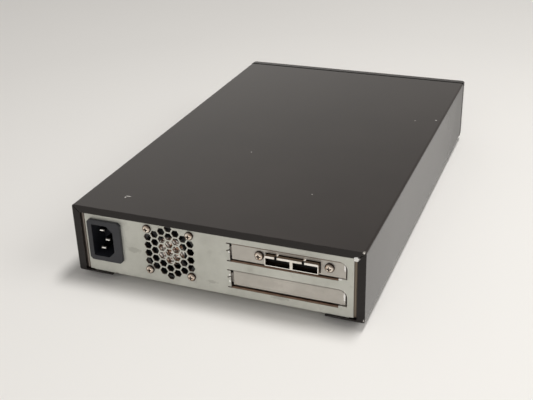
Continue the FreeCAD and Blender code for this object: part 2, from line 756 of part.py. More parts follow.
def fan_frame():
    """Square fan frame with its duct, screw bosses, and the stator's plate on four struts."""
    y1 = panel_in
    y0 = y1 - fan_depth
    body = slab(fan_x, fan_z, fan_size, fan_size, y0, y1)
    body = round_edges(body, Y, fan_corner)
    duct = rod(fan_bore, (fan_x, y0 - 1, fan_z), Y, fan_depth + 2)
    waist_half = fan_hole_pitch / 2 - fan_shank - 3.0
    waist_cuts = []
    for angle in range(0, 360, 90):
        relief = block(fan_x - waist_half, fan_x + waist_half, y0 + fan_flange, y1 - fan_flange,
                       fan_z + fan_bore + fan_wall / 2, fan_z + fan_size)
        relief.rotate(V(fan_x, 0, fan_z), Y, angle)
        waist_cuts.append(relief)
    frame = without(body, duct, *waist_cuts)
    plate_out = y1 - fan_plate_set
    plate = rod(fan_hub, (fan_x, plate_out - fan_plate, fan_z), Y, fan_plate)
    struts = []
    for angle in (45, 135, 225, 315):
        strut = block(fan_x - fan_strut / 2, fan_x + fan_strut / 2, plate_out - fan_plate, plate_out,
                      fan_z, fan_z + fan_bore + fan_wall / 2)
        strut.rotate(V(fan_x, 0, fan_z), Y, angle)
        struts.append(strut)
    tube = rod(fan_tube, (fan_x, plate_out - fan_tube_length, fan_z), Y, fan_tube_length)
    coil = rod(fan_coil, (fan_x, plate_out - fan_coil_length, fan_z), Y, fan_coil_length - fan_plate / 2)
    frame = joined(frame, plate, tube, coil, *struts)
    bore = rod(fan_shaft + running_gap, (fan_x, plate_out - fan_tube_length - 1, fan_z), Y,
               fan_tube_length - 0.5)
    holes = [rod(fan_shank + seat_gap, (cx, y0 - 1, cz), Y, fan_depth + 2) for cx, cz in fan_screw_places()]
    return without(frame, bore, *holes)


def fan_blade(middle):
    """One twisted blade along +Z, lofted between a steep root and a flatter tip."""
    wires = []
    for radius, chord, pitch in ((fan_hub - fan_cup_wall / 2, fan_root_chord, fan_root_pitch),
                                 (fan_bore - fan_tip_gap, fan_tip_chord, fan_tip_pitch)):
        rise = chord / 2 * math.sin(math.radians(pitch))
        run = chord / 2 * math.cos(math.radians(pitch))
        half = fan_blade_sheet / 2
        section = [V(-run, -rise - half, radius), V(run, rise - half, radius),
                   V(run, rise + half, radius), V(-run, -rise + half, radius)]
        wires.append(Part.makePolygon(section + section[:1]))
    blade = Part.makeLoft(wires, True, True)
    blade.translate(V(fan_x, middle, fan_z))
    return blade


def fan_rotor():
    """Cup-shaped hub with its shaft and a ring of twisted blades."""
    cup_out = panel_in - fan_plate_set - fan_plate - 0.4
    cup_in = panel_in - fan_depth + 1.0
    cup = rod(fan_hub, (fan_x, cup_in, fan_z), Y, cup_out - cup_in)
    hollow = rod(fan_hub - fan_cup_wall, (fan_x, cup_in + fan_cup_wall, fan_z), Y, cup_out - cup_in)
    shaft = rod(fan_shaft, (fan_x, cup_in + fan_cup_wall / 2, fan_z), Y, cup_out - cup_in)
    rotor = joined(without(cup, hollow), shaft)
    middle = (cup_in + cup_out) / 2
    for i in range(fan_blades):
        blade = fan_blade(middle)
        blade.rotate(V(fan_x, middle, fan_z), Y, i * 360.0 / fan_blades)
        rotor = joined(rotor, blade)
    sweep = rod(fan_bore - fan_tip_gap, (fan_x, cup_in, fan_z), Y, cup_out - cup_in - 0.2)
    return rotor.common(sweep)


def fan_screws():
    """Four screws through the panel into the fan's corners."""
    return group(*[pan_head_screw(fan_screw_head, 2.2, fan_shank, 9.0, (cx, panel_out, cz), Y)
                   for cx, cz in fan_screw_places()])


def card_slab(middle_z, inset, face, depth, bend):
    """The card's outline, drawn in all round by an inset and rounded along the edges of its face."""
    outline = slot_outline(card_x0 + inset, card_x1 - inset, middle_z + card_low + inset,
                           middle_z + card_high - inset, card_corner - inset, face)
    made = Part.Face(outline).extrude(V(0, -depth, 0))
    return made.makeFillet(bend, [e for e in made.Edges if abs(e.CenterOfMass.y - face) < 0.01])


def card_fittings(middle_z):
    """Folded tab at a card's outer end and joggled tongue at its inner end."""
    back = card_face - card_sheet
    tab = block(card_x0, card_x0 + card_sheet, card_face - card_tab, back + 0.01,
                middle_z + card_low, middle_z + card_high - card_corner)
    half = card_tongue_half
    step = block(card_x1 - card_sheet, card_x1, back - card_tongue_set, back + 0.01,
                 middle_z - half, middle_z + half)
    tongue = block(card_x1 - card_sheet, card_x1 + card_tongue_reach, back - card_tongue_set,
                   card_face - card_tongue_set, middle_z - half, middle_z + half)
    return [tab, step, tongue]


def card_screw_hole(middle_z):
    """Hole in a card's tab for its screw."""
    return rod(screw_shank + seat_gap, (card_x0 - 1, card_screw_y, middle_z), X, card_sheet + 2)


def port_screw_places():
    """Screws either side of the port shell."""
    x = port_x + port_screw_shift
    return [(x + side * port_screw_pitch / 2, port_screw_z) for side in (-1, 1)]


def shell_size():
    """Outside width and height of the port shell."""
    wide = port_pitch + port_open_x + 2 * port_wall
    high = port_open_z + port_wall + port_roof
    return wide, high


def port_card_plate():
    """The upper card's flat plate, cut out for the port shell and its two screws."""
    wide, high = shell_size()
    back = card_face - card_sheet
    opening = slab(port_x, port_z, wide + 2 * port_cut_gap, high + 2 * port_cut_gap, back - 1, card_face + 1)
    holes = [rod(screw_shank + seat_gap, (cx, back - 1, cz), Y, card_sheet + 2)
             for cx, cz in port_screw_places()]
    plate = joined(card_slab(card_z, 0.0, card_face, card_sheet, card_edge_round), *card_fittings(card_z))
    lugs = []
    board_top = port_z - high / 2
    for cx, _ in port_screw_places():
        lugs.append(block(cx - board_lug_half, cx + board_lug_half, card_face - board_lug_length,
                          back + 0.01, board_top, board_top + card_sheet))
    return joined(without(plate, opening, card_screw_hole(card_z), *holes), *lugs)


def blank_card_plate():
    """The lower slot's blank plate, a shallow pressing with its edge turned back all round."""
    outer = card_slab(slot_low_z, 0.0, card_face, blank_rim, blank_bend)
    inner = card_slab(slot_low_z, card_sheet, card_face - card_sheet, blank_rim, blank_bend - card_sheet)
    pressing = without(outer, inner)
    return without(joined(pressing, *card_fittings(slot_low_z)), card_screw_hole(slot_low_z))


def port_centres():
    """Centre of each data port's opening."""
    _, high = shell_size()
    z = port_z - high / 2 + port_wall + port_open_z / 2
    return [(port_x + side * port_pitch / 2, z) for side in (-1, 1)]


def port_shell():
    """Metal shell of the two data ports, with a keying notch in each roof."""
    wide, high = shell_size()
    back = card_face - port_back
    shell = slab(port_x, port_z, wide, high, back, port_mouth)
    shell = round_edges(shell, Y, 0.8, lambda e: e.CenterOfMass.z > port_z)
    for cx, cz in port_centres():
        shell = without(shell, slab(cx, cz, port_open_x, port_open_z, back - 1, port_mouth + 1))
        middle = cx + port_notch_shift
        notch = block(middle - port_notch / 2, middle + port_notch / 2, card_face - 1.0, port_mouth + 1,
                      cz + port_open_z / 2 - 0.5, port_z + high / 2 + 1)
        shell = without(shell, notch)
    return shell


def port_inserts():
    """Black contact bodies inside the shell, each with the slot for the plug's tongue."""
    made = []
    front = port_mouth - port_insert_depth
    for cx, cz in port_centres():
        body = slab(cx, cz, port_open_x, port_open_z, card_face - port_back, front)
        slot = slab(cx, cz, port_open_x - 3.0, 1.4, front - 6.0, front + 1)
        made.append(without(body, slot))
    return group(*made)


def port_screws():
    """The two screws that hold the port shell's ears to the card's plate."""
    return group(*[pan_head_screw(port_screw_head, 2.4, screw_shank, 6.0, (cx, card_face, cz), Y)
                   for cx, cz in port_screw_places()])


def port_board():
    """Small board behind the ports, under the card plate's two lugs, with the cable's socket."""
    _, high = shell_size()
    top = port_z - high / 2
    y1 = card_face - card_sheet - slip_gap
    y0 = y1 - card_board_length
    board = block(port_x - card_board_half, port_x + card_board_half, y0, y1, top - board_thick, top)
    half = board_socket_half
    start = y0 + board_socket_set
    socket = block(port_x - half, port_x + half, start, start + board_socket_length, top,
                   top + board_socket_height)
    start = y0 + board_chip_set
    chip = block(port_x - board_chip / 2, port_x + board_chip / 2, start, start + board_chip, top,
                 top + board_thick)
    return joined(board, socket, chip)


def card_rail():
    """Upright on the pan that the two card tabs are screwed to."""
    x1 = card_x0
    y1 = card_face - card_tab_stop
    y0 = rise_end + 0.3
    upright = block(x1 - pan_sheet, x1, y0, y1, raised_top, card_z + card_high - card_corner)
    foot = block(x1 - rail_turn, x1, y0, y1, raised_top, raised_top + pan_sheet)
    holes = [rod(screw_shank + seat_gap, (x1 - 3, card_screw_y, z), X, 6)
             for z in (slot_low_z, card_z)]
    return without(joined(upright, foot), *holes)


def card_screws():
    """One screw through each card's tab into the rail."""
    return group(*[pan_head_screw(2.6, 1.8, screw_shank, 5.0, (card_x0 + card_sheet, card_screw_y, z), X)
                   for z in (slot_low_z, card_z)])


# ---------------------------------------------------------------- the drive's body
def drive_face_box():
    """Outline of the drive's own face."""
    return drive_x0 - face_margin, drive_x1 + face_margin, drive_z0 - slip_gap, drive_z1 + slip_gap


def drive_casting():
    """Cast tray: two sides, a raised floor, a rear wall, and the posts that carry boards and shafts."""
    x0 = drive_x0 + lid_sheet + 0.1
    x1 = drive_x1 - lid_sheet - 0.1
    top = lid_under - 0.1
    left = block(x0, x0 + casting_wall, drive_y0, drive_y1, drive_z0, top)
    right = block(x1 - casting_wall, x1, drive_y0, drive_y1, drive_z0, top)
    rear = block(x0, x1, drive_y1 - casting_wall, drive_y1, floor_z - casting_floor, top)
    floor = block(x0, x1, button_board_y + button_board_sheet, drive_y1, floor_z - casting_floor, floor_z)
    posts = []
    for px, py in board_post_places():
        foot = drive_z0 + main_board_lift + board_thick
        posts.append(rod(board_post, (px, py, foot), Z, floor_z - casting_floor - foot + 0.5))
    casting = joined(left, right, rear, floor, *posts)
    tools = [rod(motor_radius + 0.3, (bay_x, clutch_y(), floor_z - casting_floor - 1), Z, casting_floor + 2)]
    for cx, wide in ((plug_x_data, plug_data_width), (plug_x_power, plug_power_width)):
        tools.append(block(cx - wide / 2, cx + wide / 2, drive_y1 - casting_wall - 1, drive_y1 + 1,
                           plug_z - plug_high / 2, plug_z + plug_high / 2))
    tools += [rod(screw_shank + seat_gap, start, X, side_hole_depth) for start in drive_screw_starts()]
    return without(casting, *tools)


plug_data_inset = 44.0     # rear sockets from the drive's left side
plug_power_inset = 104.0
plug_rise = 6.0            # socket's middle above the floor
plug_out = 1.0             # past the drive's rear wall
plug_foot_set = 2.0
plug_x_data = drive_x0 + plug_data_inset
plug_x_power = drive_x0 + plug_power_inset
plug_data_width = 34.0
plug_power_width = 18.0
plug_high = 8.0
plug_depth = 12.0
plug_z = floor_z + plug_rise
rail_sheet = 1.2
rail_foot = 6.5
rail_length = 120.0
rail_height = 22.0         # rail's top above the drive's underside
rail_start = 30.0          # behind the drive's front
side_hole_front = 47.0     # side screws behind the drive's front
side_hole_rear = 126.0
side_hole_rise = 10.0
side_hole_depth = 12.0
side_hole_ys = (drive_y0 + side_hole_front, drive_y0 + side_hole_rear)
side_hole_z = drive_z0 + side_hole_rise
main_board_lift = 1.2      # main board above the drive's underside
main_board_side = 5.0
main_board_front = 8.0
chip_side = 18.0
chip_height = 1.8
board_post = 3.0           # post radius
board_post_side = 12.0
board_post_end = 20.0
lid_side = 16.0            # height of the lid's folded sides
hub_set = 51.0             # cartridge's hub from its inner end


def clutch_y():
    """The supply clutch lies under the middle of a loaded cartridge."""
    return carrier_y0 + carrier_travel + carrier_length - hub_set


def board_post_places():
    """Four posts under the casting's floor."""
    return [(x, y) for x in (drive_x0 + board_post_side, drive_x1 - board_post_side)
            for y in (drive_y0 + board_post_end, drive_y1 - board_post_end)]


def drive_screw_starts():
    """Left ends of the side screw holes in the casting, two on each side."""
    return [(x, y, side_hole_z) for x in (drive_x0 - 1.0, drive_x1 + 1.0 - side_hole_depth)
            for y in side_hole_ys]


def drive_lid():
    """Folded steel lid over the casting."""
    top = block(drive_x0, drive_x1, drive_y0, drive_y1, lid_under, drive_z1)
    sides = [block(x, x + lid_sheet, drive_y0, drive_y1, drive_z1 - lid_side, drive_z1)
             for x in (drive_x0, drive_x1 - lid_sheet)]
    lid = joined(top, *sides)
    return round_edges(lid, Y, lid_sheet * 0.9,
                       lambda e: e.CenterOfMass.z > drive_z1 - 0.01)


def drive_board():
    """Main board under the casting's floor."""
    z = drive_z0 + main_board_lift
    side = main_board_side
    board = block(drive_x0 + side, drive_x1 - side, drive_y0 + main_board_front, drive_y1 - side,
                  z, z + board_thick)
    half = chip_side / 2
    top = z + board_thick
    chips = [block(cx - half, cx + half, cy - half, cy + half, top, top + chip_height)
             for cx, cy in ((drive_x0 + 40.0, drive_y1 - 40.0), (drive_x0 + 100.0, drive_y1 - 46.0))]
    return joined(board, *chips)


def drive_plugs():
    """Data and power sockets in the drive's rear wall."""
    made = []
    for cx, wide in ((plug_x_data, plug_data_width), (plug_x_power, plug_power_width)):
        y0 = drive_y1 - plug_depth
        plug = slab(cx, plug_z, wide, plug_high, y0, drive_y1 + plug_out)
        half = wide / 2 - plug_foot_set
        foot = block(cx - half, cx + half, y0, y0 + plug_depth / 2, floor_z, plug_z)
        made.append(joined(plug, foot))
    return group(*made)


def drive_rails():
    """Two steel angles that carry the drive above the pan."""
    made = []
    y0 = drive_y0 + rail_start
    y1 = y0 + rail_length
    for side, face in ((-1, drive_x0), (1, drive_x1)):
        x0, x1 = sorted((face, face + side * rail_sheet))
        upright = block(x0, x1, y0, y1, pan_top, drive_z0 + rail_height)
        f0, f1 = sorted((face, face + side * rail_foot))
        foot = block(f0, f1, y0, y1, pan_top, pan_top + rail_sheet)
        holes = [rod(screw_shank + seat_gap, (x0 - 3, y, side_hole_z), X, 8) for y in side_hole_ys]
        made.append(without(joined(upright, foot), *holes))
    return group(*made)


def drive_screws():
    """Four side screws through the rails into the casting."""
    made = []
    for side, face in ((-1, drive_x0), (1, drive_x1)):
        for y in side_hole_ys:
            seat = (face + side * rail_sheet, y, side_hole_z)
            made.append(pan_head_screw(2.7, 1.7, screw_shank, 6.0, seat, V(side, 0, 0)))
    return group(*made)


# ---------------------------------------------------------------- the drive's face
door_z = mouth_z1 + 1.0            # height of the door's pivot
door_y = face_y + door_inset + door_pivot_set
door_half = mouth_half - door_gap
button_cx = drive_x1 - 14.0
button_cz = (drive_z0 + mouth_z0) / 2 + 0.2
display_cx = drive_x1 - 38.0


def drive_face():
    """Drive's moulded face: cartridge mouth, door ears, button hole, display window and light holes."""
    x0, x1, z0, z1 = drive_face_box()
    rim_y = drive_y0 - 0.1
    shell = block(x0, x1, face_y, rim_y, z0, z1)
    shell = round_edges(shell, Y, 1.2)
    hollow = block(x0 + 1.6, x1 - 1.6, face_y + face_sheet, rim_y + 1, z0 + 1.6, z1 - 0.8)
    mouth = block(bay_x - mouth_half, bay_x + mouth_half, face_y - 1, rim_y + 1, mouth_z0, mouth_z1)
    shell = without(shell, hollow)
    guide = block(bay_x - mouth_half - 1.4, bay_x + mouth_half + 1.4, face_y + face_sheet - 0.01, rim_y,
                  mouth_z0 - 1.4, mouth_z0)
    ears = []
    for side in (-1, 1):
        e0, e1 = sorted((bay_x + side * (mouth_half + 0.2), bay_x + side * (mouth_half + 2.2)))
        ears.append(block(e0, e1, face_y + face_sheet - 0.01, rim_y, mouth_z1 - 5.0, z1 - 0.5))
    face = joined(shell, guide, *ears)
    pins = rod(door_pin + running_gap, (bay_x - mouth_half - 1.9, door_y, door_z), X, 2 * mouth_half + 3.8)
    button = round_edges(slab(button_cx, button_cz, button_x + 2 * button_gap, button_z + 2 * button_gap,
                              face_y - 1, face_y + face_sheet + 1), Y, 1.2)
    display = slab(display_cx, button_cz, 8.0, 10.0, face_y - 1, face_y + face_sheet + 1)
    lights = [rod(light_radius, (x, face_y - 1, button_cz), Y, face_sheet + 2) for x in light_places()]
    return without(face, mouth, pins, button, display, *lights)


def light_places():
    """The row of status lights."""
    return [display_cx - 16.0 - 10.0 * i for i in range(3)]


def status_lights():
    """Small lenses in the drive's face and in the bezel, each with a light pipe's head behind."""
    places = [(x, face_y, button_cz, face_sheet) for x in light_places()]
    places.append((power_x + light_offset, y_front, power_z, bezel_wall))
    made = []
    for x, y, z, wall in places:
        lens = rod(light_radius, (x, y, z), Y, wall)
        made.append(joined(lens, rod(light_radius + 0.6, (x, y + wall, z), Y, light_head)))
    return group(*made)


def display_window():
    """Dark window over the one-figure display."""
    pane = slab(display_cx, button_cz, 8.0, 10.0, face_y + 0.2, face_y + face_sheet)
    back = slab(display_cx, button_cz, 10.0, 11.0, face_y + face_sheet, face_y + face_sheet + 2.0)
    return joined(pane, back)


def cartridge_door():
    """Flap that fills the mouth, with a barrel and two pins along its top."""
    front = face_y + door_inset
    z0 = mouth_z0 + door_gap
    plate = block(bay_x - door_half, bay_x + door_half, front, front + door_thick, z0, mouth_z1 - door_gap)
    plate = round_edges(plate, X, 0.5, lambda e: e.CenterOfMass.y < front + 0.1)
    groove = block(bay_x - 14.0, bay_x + 14.0, front - 1, front + 0.4, z0 + 2.5, z0 + 4.0)
    web = block(bay_x - door_half, bay_x + door_half, door_y - door_barrel + 0.15, door_y + 0.4,
                mouth_z1 - 6.0, door_z)
    barrel = rod(door_barrel, (bay_x - door_half, door_y, door_z), X, 2 * door_half)
    pins = rod(door_pin, (bay_x - mouth_half - 1.7, door_y, door_z), X, 2 * mouth_half + 3.4)
    return joined(without(plate, groove), web, barrel, pins)


def eject_button():
    """Rounded button with a stop flange behind the face."""
    cap = round_edges(slab(button_cx, button_cz, button_x, button_z, face_y - 0.5,
                           face_y + face_sheet + 1.6), Y, 1.0)
    flange = slab(button_cx, button_cz, button_x + 2.4, button_z + 2.0, face_y + face_sheet + 0.2,
                  face_y + face_sheet + 1.2)
    return joined(cap, flange)


def button_board():
    """Narrow board behind the lower strip of the face, with the switch that the button presses."""
    y0 = button_board_y
    right = drive_x1 - lid_sheet - casting_wall - 0.6
    board = block(light_places()[-1] - 6.0, right, y0, y0 + button_board_sheet,
                  drive_z0 + 2.9, mouth_z0 - 3.0)
    switch = slab(button_cx, button_cz, 6.0, 6.0, y0 - 1.9, y0 + 0.01)
    risers = [slab(x, button_cz, 2.6, 2.6, face_y + face_sheet + light_head, y0 + 0.01)
              for x in light_places()]
    window = slab(display_cx, button_cz, 7.0, 7.0, face_y + face_sheet + 2.0, y0 + 0.01)
    return joined(board, switch, window, *risers)


def power_button():
    """Round button with a stop flange behind the bezel."""
    face = y_front + 0.1
    cap = rod(power_radius, (power_x, face, power_z), Y, bezel_wall + power_reach + 0.6)
    cap = cap.makeFillet(0.6, [e for e in cap.Edges if e.CenterOfMass.y < face + 0.1
                               and not isinstance(e.Curve, Part.Line)])
    dish_radius = 5 * power_radius
    dish = Part.makeSphere(dish_radius, V(power_x, face + 0.4 - dish_radius, power_z))
    flange = rod(power_radius + power_flange, (power_x, y_front + bezel_wall + power_reach, power_z), Y,
                 power_flange_sheet)
    return joined(without(cap, dish), flange)


def power_switch():
    """Switch body behind the power button, on a bracket that stands on the pan."""
    rear = switch_y + 1.0 + switch_depth
    body = slab(power_x, power_z, switch_size, switch_size, switch_y + 1.0, rear)
    plunger = rod(1.6, (power_x, switch_y - 0.3, power_z), Y, 1.5)
    half = switch_size / 2 + 5.5
    bracket = block(power_x - half, power_x + half, rear, rear + switch_bracket, pan_top, power_z + 9.0)
    foot = block(power_x - half, power_x + half, rear, rear + 10.0, pan_top, pan_top + switch_bracket)
    return joined(body, plunger, bracket, foot)


# ---------------------------------------------------------------- cartridge loading
rack_back = 1.0
rack_base_x = bay_x + carrier_half + carrier_sheet
rack_pitch_x = rack_base_x + rack_back + gear_module * gear_addendum + gear_root_gap
gear_radius = gear_module * gear_teeth / 2
tooth_half = math.pi * gear_module / 4 - gear_backlash / 4
gear_x = rack_pitch_x + gear_radius
gear_y = carrier_y0 + 38.0
gear_z0 = bay_floor + 14.6
guide_z = bay_floor + 8.0
loader_can = 12.0          # motor can's height
loader_can_radius = 7.0


def carrier():
    """Folded cage that holds the cartridge: roof, sides, bottom lips, side runners and the rack."""
    y0, y1 = carrier_y0, carrier_y0 + carrier_length
    half_out = carrier_half + carrier_sheet
    roof = block(bay_x - half_out, bay_x + half_out, y0, y1, bay_roof, bay_roof + carrier_sheet)
    pieces = []
    for side in (-1, 1):
        x0, x1 = sorted((bay_x + side * carrier_half, bay_x + side * half_out))
        pieces.append(block(x0, x1, y0, y1, bay_floor - carrier_sheet, bay_roof + carrier_sheet))
        x0, x1 = sorted((bay_x + side * half_out, bay_x + side * (half_out - carrier_lip)))
        pieces.append(block(x0, x1, y0, y1, bay_floor - carrier_sheet, bay_floor))
        x0, x1 = sorted((bay_x + side * half_out, bay_x + side * (half_out + 1.4)))
        pieces.append(block(x0, x1, y0 + 4.0, y1 - 4.0, guide_z - 0.8, guide_z + 0.8))
    pieces.append(rack_strip(y0 + 2.0, y1 - 2.0))
    return joined(roof, *pieces)


def rack_strip(y0, y1):
    """Toothed strip on the carrier's right side; a tooth lies level with the pinion's axis at rest."""
    pitch = math.pi * gear_module
    z0, z1 = gear_z0, gear_z0 + gear_wide
    root_x = rack_base_x + rack_back
    tip_x = rack_pitch_x + gear_module * gear_addendum
    strip = block(rack_base_x - 0.01, root_x, y0, y1, z0, z1)
    half_root = tooth_half + (rack_pitch_x - root_x) * math.tan(pressure_angle)
    half_tip = tooth_half - (tip_x - rack_pitch_x) * math.tan(pressure_angle)
    teeth = []
    first = math.ceil((y0 + half_root - gear_y) / pitch)
    last = math.floor((y1 - half_root - gear_y) / pitch)
    for i in range(first, last + 1):
        y = gear_y + i * pitch
        teeth.append(prism([(root_x - 0.01, y - half_root, z0), (root_x - 0.01, y + half_root, z0),
                            (tip_x, y + half_tip, z0), (tip_x, y - half_tip, z0)], V(0, 0, z1 - z0)))
    return joined(strip, *teeth)


def involute(angle):
    """The involute function of a pressure angle."""
    return math.tan(angle) - angle


def pinion_tooth(z0, z1):
    """One tooth along +X: involute flanks above the base circle, radial below it."""
    base = gear_radius * math.cos(pressure_angle)
    root = gear_radius - gear_module * gear_addendum - gear_root_gap
    tip = gear_radius + gear_module * gear_addendum
    flank = []
    for i in range(7):
        radius = base + (tip - base) * i / 6
        turn = tooth_half / gear_radius + involute(pressure_angle) - involute(math.acos(base / radius))
        flank.append((radius, turn))
    flank.insert(0, (root - 0.3, flank[0][1]))
    points = [(r * math.cos(-t), r * math.sin(-t), z0) for r, t in flank]
    points += [(r * math.cos(t), r * math.sin(t), z0) for r, t in reversed(flank)]
    return prism(points, V(0, 0, z1 - z0))


def loader_pinion():
    """Pinion with involute teeth on its shaft; a gap between two teeth faces the rack at rest."""
    root = gear_radius - gear_module * gear_addendum - gear_root_gap
    z0, z1 = gear_z0 - 0.4, gear_z0 + gear_wide + 0.4
    disc = rod(root, (0, 0, z0), Z, z1 - z0)
    teeth = []
    for i in range(gear_teeth):
        tooth = pinion_tooth(z0, z1)
        tooth.rotate(V(0, 0, 0), Z, 180.0 + (i + 0.5) * 360.0 / gear_teeth)
        teeth.append(tooth)
    shaft_z = floor_z + loader_can - 5.0
    shaft = rod(1.5, (0, 0, shaft_z), Z, z1 - shaft_z)
    pinion = joined(disc, shaft, *teeth)
    pinion.translate(V(gear_x, gear_y, 0))
    return pinion


def loader_motor():
    """Upright geared motor on the casting's floor."""
    can = rod(loader_can_radius, (gear_x, gear_y, floor_z), Z, loader_can)
    bore = rod(1.5 + running_gap, (gear_x, gear_y, floor_z + loader_can - 5.2), Z, 6.0)
    return without(can, bore)


def loader_guides():
    """Two uprights on the floor, grooved for the carrier's runners."""
    y0 = carrier_y0 - 2.0
    y1 = carrier_y0 + carrier_length + carrier_travel + 1.0
    half_out = carrier_half + carrier_sheet
    top = gear_z0 - 0.8
    made = []
    for side in (-1, 1):
        inner = half_out + 0.4
        outer = inner + 3.4
        x0, x1 = sorted((bay_x + side * inner, bay_x + side * outer))
        guide = block(x0, x1, y0, y1, floor_z, top)
        g0, g1 = sorted((bay_x + side * (inner - 1), bay_x + side * (half_out + 1.7)))
        groove = block(g0, g1, y0 - 1, y1 + 1, guide_z - 1.1, guide_z + 1.1)
        relief = rod(loader_can_radius + 0.4, (gear_x, gear_y, floor_z - 1), Z, loader_can + 1.6)
        made.append(without(guide, groove, relief) if side > 0 else without(guide, groove))
    return group(*made)


# ---------------------------------------------------------------- reels, rollers and head
def takeup_reel():
    """Take-up reel: two flanges, a hub with a leader notch, and the spindle."""
    z0 = tape_z0
    lower = rod(reel_radius, (reel_x, reel_y, z0), Z, reel_flange)
    hub = rod(hub_radius, (reel_x, reel_y, z0), Z, tape_width + 2 * reel_flange)
    upper = rod(reel_radius, (reel_x, reel_y, z0 + reel_flange + tape_width), Z, reel_flange)
    shaft = rod(spindle, (reel_x, reel_y, floor_z + 0.8), Z, z0 - floor_z)
    notch = block(reel_x - 3.0, reel_x + 3.0, reel_y - hub_radius - 1, reel_y - hub_radius + 6.0,
                  z0 + reel_flange, z0 + reel_flange + tape_width)
    reel = without(joined(lower, hub, upper, shaft), notch)
    windows = []
    for i in range(3):
        window = rod(6.0, (reel_x + 33.0, reel_y, z0 + reel_flange + tape_width - 1), Z, reel_flange + 2)
        window.rotate(V(reel_x, reel_y, 0), Z, 120.0 * i + 60.0)
        windows.append(window)
    return without(reel, *windows)


def reel_motors():
    """Flat motors under both reels."""
    takeup = rod(motor_radius, (reel_x, reel_y, floor_z), Z, motor_height)
    takeup = without(takeup, rod(spindle + running_gap, (reel_x, reel_y, floor_z + 0.6), Z, motor_height))
    supply_z = floor_z - casting_floor - 0.6
    supply = rod(motor_radius, (bay_x, clutch_y(), supply_z), Z, clutch_z() - supply_z - 0.4)
    supply = joined(supply, rod(motor_radius + 2.5, (bay_x, clutch_y(), supply_z), Z, 0.6))
    bore = rod(spindle + running_gap, (bay_x, clutch_y(), supply_z + 0.8), Z, 20.0)
    return group(takeup, without(supply, bore))


def clutch_z():
    """Underside of the supply clutch."""
    return floor_z + 2.6


def supply_clutch():
    """Clutch disc with a ring of radial teeth that meets the cartridge's hub, on its spindle."""
    cy = clutch_y()
    z0 = clutch_z()
    disc = rod(clutch_radius, (bay_x, cy, z0), Z, 2.4)
    ring = rod(16.0, (bay_x, cy, z0), Z, 4.0)
    ring = without(ring, rod(11.0, (bay_x, cy, z0 + 2.4), Z, 3.0))
    for i in range(clutch_teeth // 2):
        gap = block(bay_x - 17.0, bay_x + 17.0, cy - 0.6, cy + 0.6, z0 + 3.0, z0 + 6.0)
        gap.rotate(V(bay_x, cy, 0), Z, i * 360.0 / clutch_teeth)
        ring = without(ring, gap)
    shaft = rod(spindle, (bay_x, cy, floor_z - casting_floor + 0.6), Z, z0 - floor_z + casting_floor)
    return joined(disc, ring, shaft)


def roller_places():
    """The four guide rollers, two either side of the head."""
    return [(drive_x1 - roller_line + dx, reel_y + dy) for dx, dy in roller_steps]


def guide_roller(index):
    """One flanged roller on its pin."""
    cx, cy = roller_places()[index]
    z0 = tape_z0 + reel_flange - roller_margin
    wide = tape_width + 2 * roller_margin
    body = rod(roller_radius, (cx, cy, z0), Z, wide)
    rims = [rod(roller_radius + roller_rim, (cx, cy, z), Z, roller_rim)
            for z in (z0, z0 + wide - roller_rim)]
    return without(joined(body, *rims), rod(roller_pin + running_gap, (cx, cy, z0 - 1), Z, wide + 2))


def roller_pins():
    """Fixed pins on the casting's floor, each with a seat below its roller and a cap above."""
    made = []
    z0 = tape_z0 + reel_flange - roller_margin
    z1 = z0 + tape_width + 2 * roller_margin + roller_play
    for cx, cy in roller_places():
        seat = rod(roller_seat, (cx, cy, floor_z), Z, z0 - roller_play - floor_z)
        pin = rod(roller_pin, (cx, cy, floor_z), Z, z1 + roller_cap_sheet / 2 - floor_z)
        cap = rod(roller_cap, (cx, cy, z1), Z, roller_cap_sheet)
        made.append(joined(seat, pin, cap))
    return group(*made)


head_x = drive_x1 - 12.0
head_y = reel_y - 5.0


head_z0 = tape_z0 + reel_flange + 0.5
head_z1 = head_z0 + tape_width - 1.0
head_rod_step = 6.0        # rods either side of the head's middle


def head_mount():
    """Block on the floor with the two upright rods that guide the head, and its lower stops."""
    base = block(head_x - 6.0, head_x + 5.0, head_y - 9.0, head_y + 9.0, floor_z, floor_z + 3.0)
    pieces = []
    for dy in (-head_rod_step, head_rod_step):
        pieces.append(rod(head_rod, (head_x + 1.5, head_y + dy, floor_z), Z,
                          head_z1 + head_travel + 0.8 - floor_z))
        pieces.append(rod(2.2, (head_x + 1.5, head_y + dy, floor_z), Z, head_z0 - 0.1 - floor_z))
    return joined(base, *pieces)


def tape_head():
    """Head block with its curved face to the tape and two bores on the guide rods."""
    body = block(head_x - 2.0, head_x + 4.0, head_y - 8.5, head_y + 8.5, head_z0, head_z1)
    nose = rod(9.0, (head_x + 5.0, head_y, head_z0), Z, head_z1 - head_z0)
    nose = nose.common(block(head_x - 5.0, head_x - 1.9, head_y - 6.0, head_y + 6.0, head_z0, head_z1))
    bores = [rod(head_rod + running_gap, (head_x + 1.5, head_y + dy, head_z0 - 1), Z, head_z1 - head_z0 + 2)
             for dy in (-head_rod_step, head_rod_step)]
    return without(joined(body, nose), *bores)


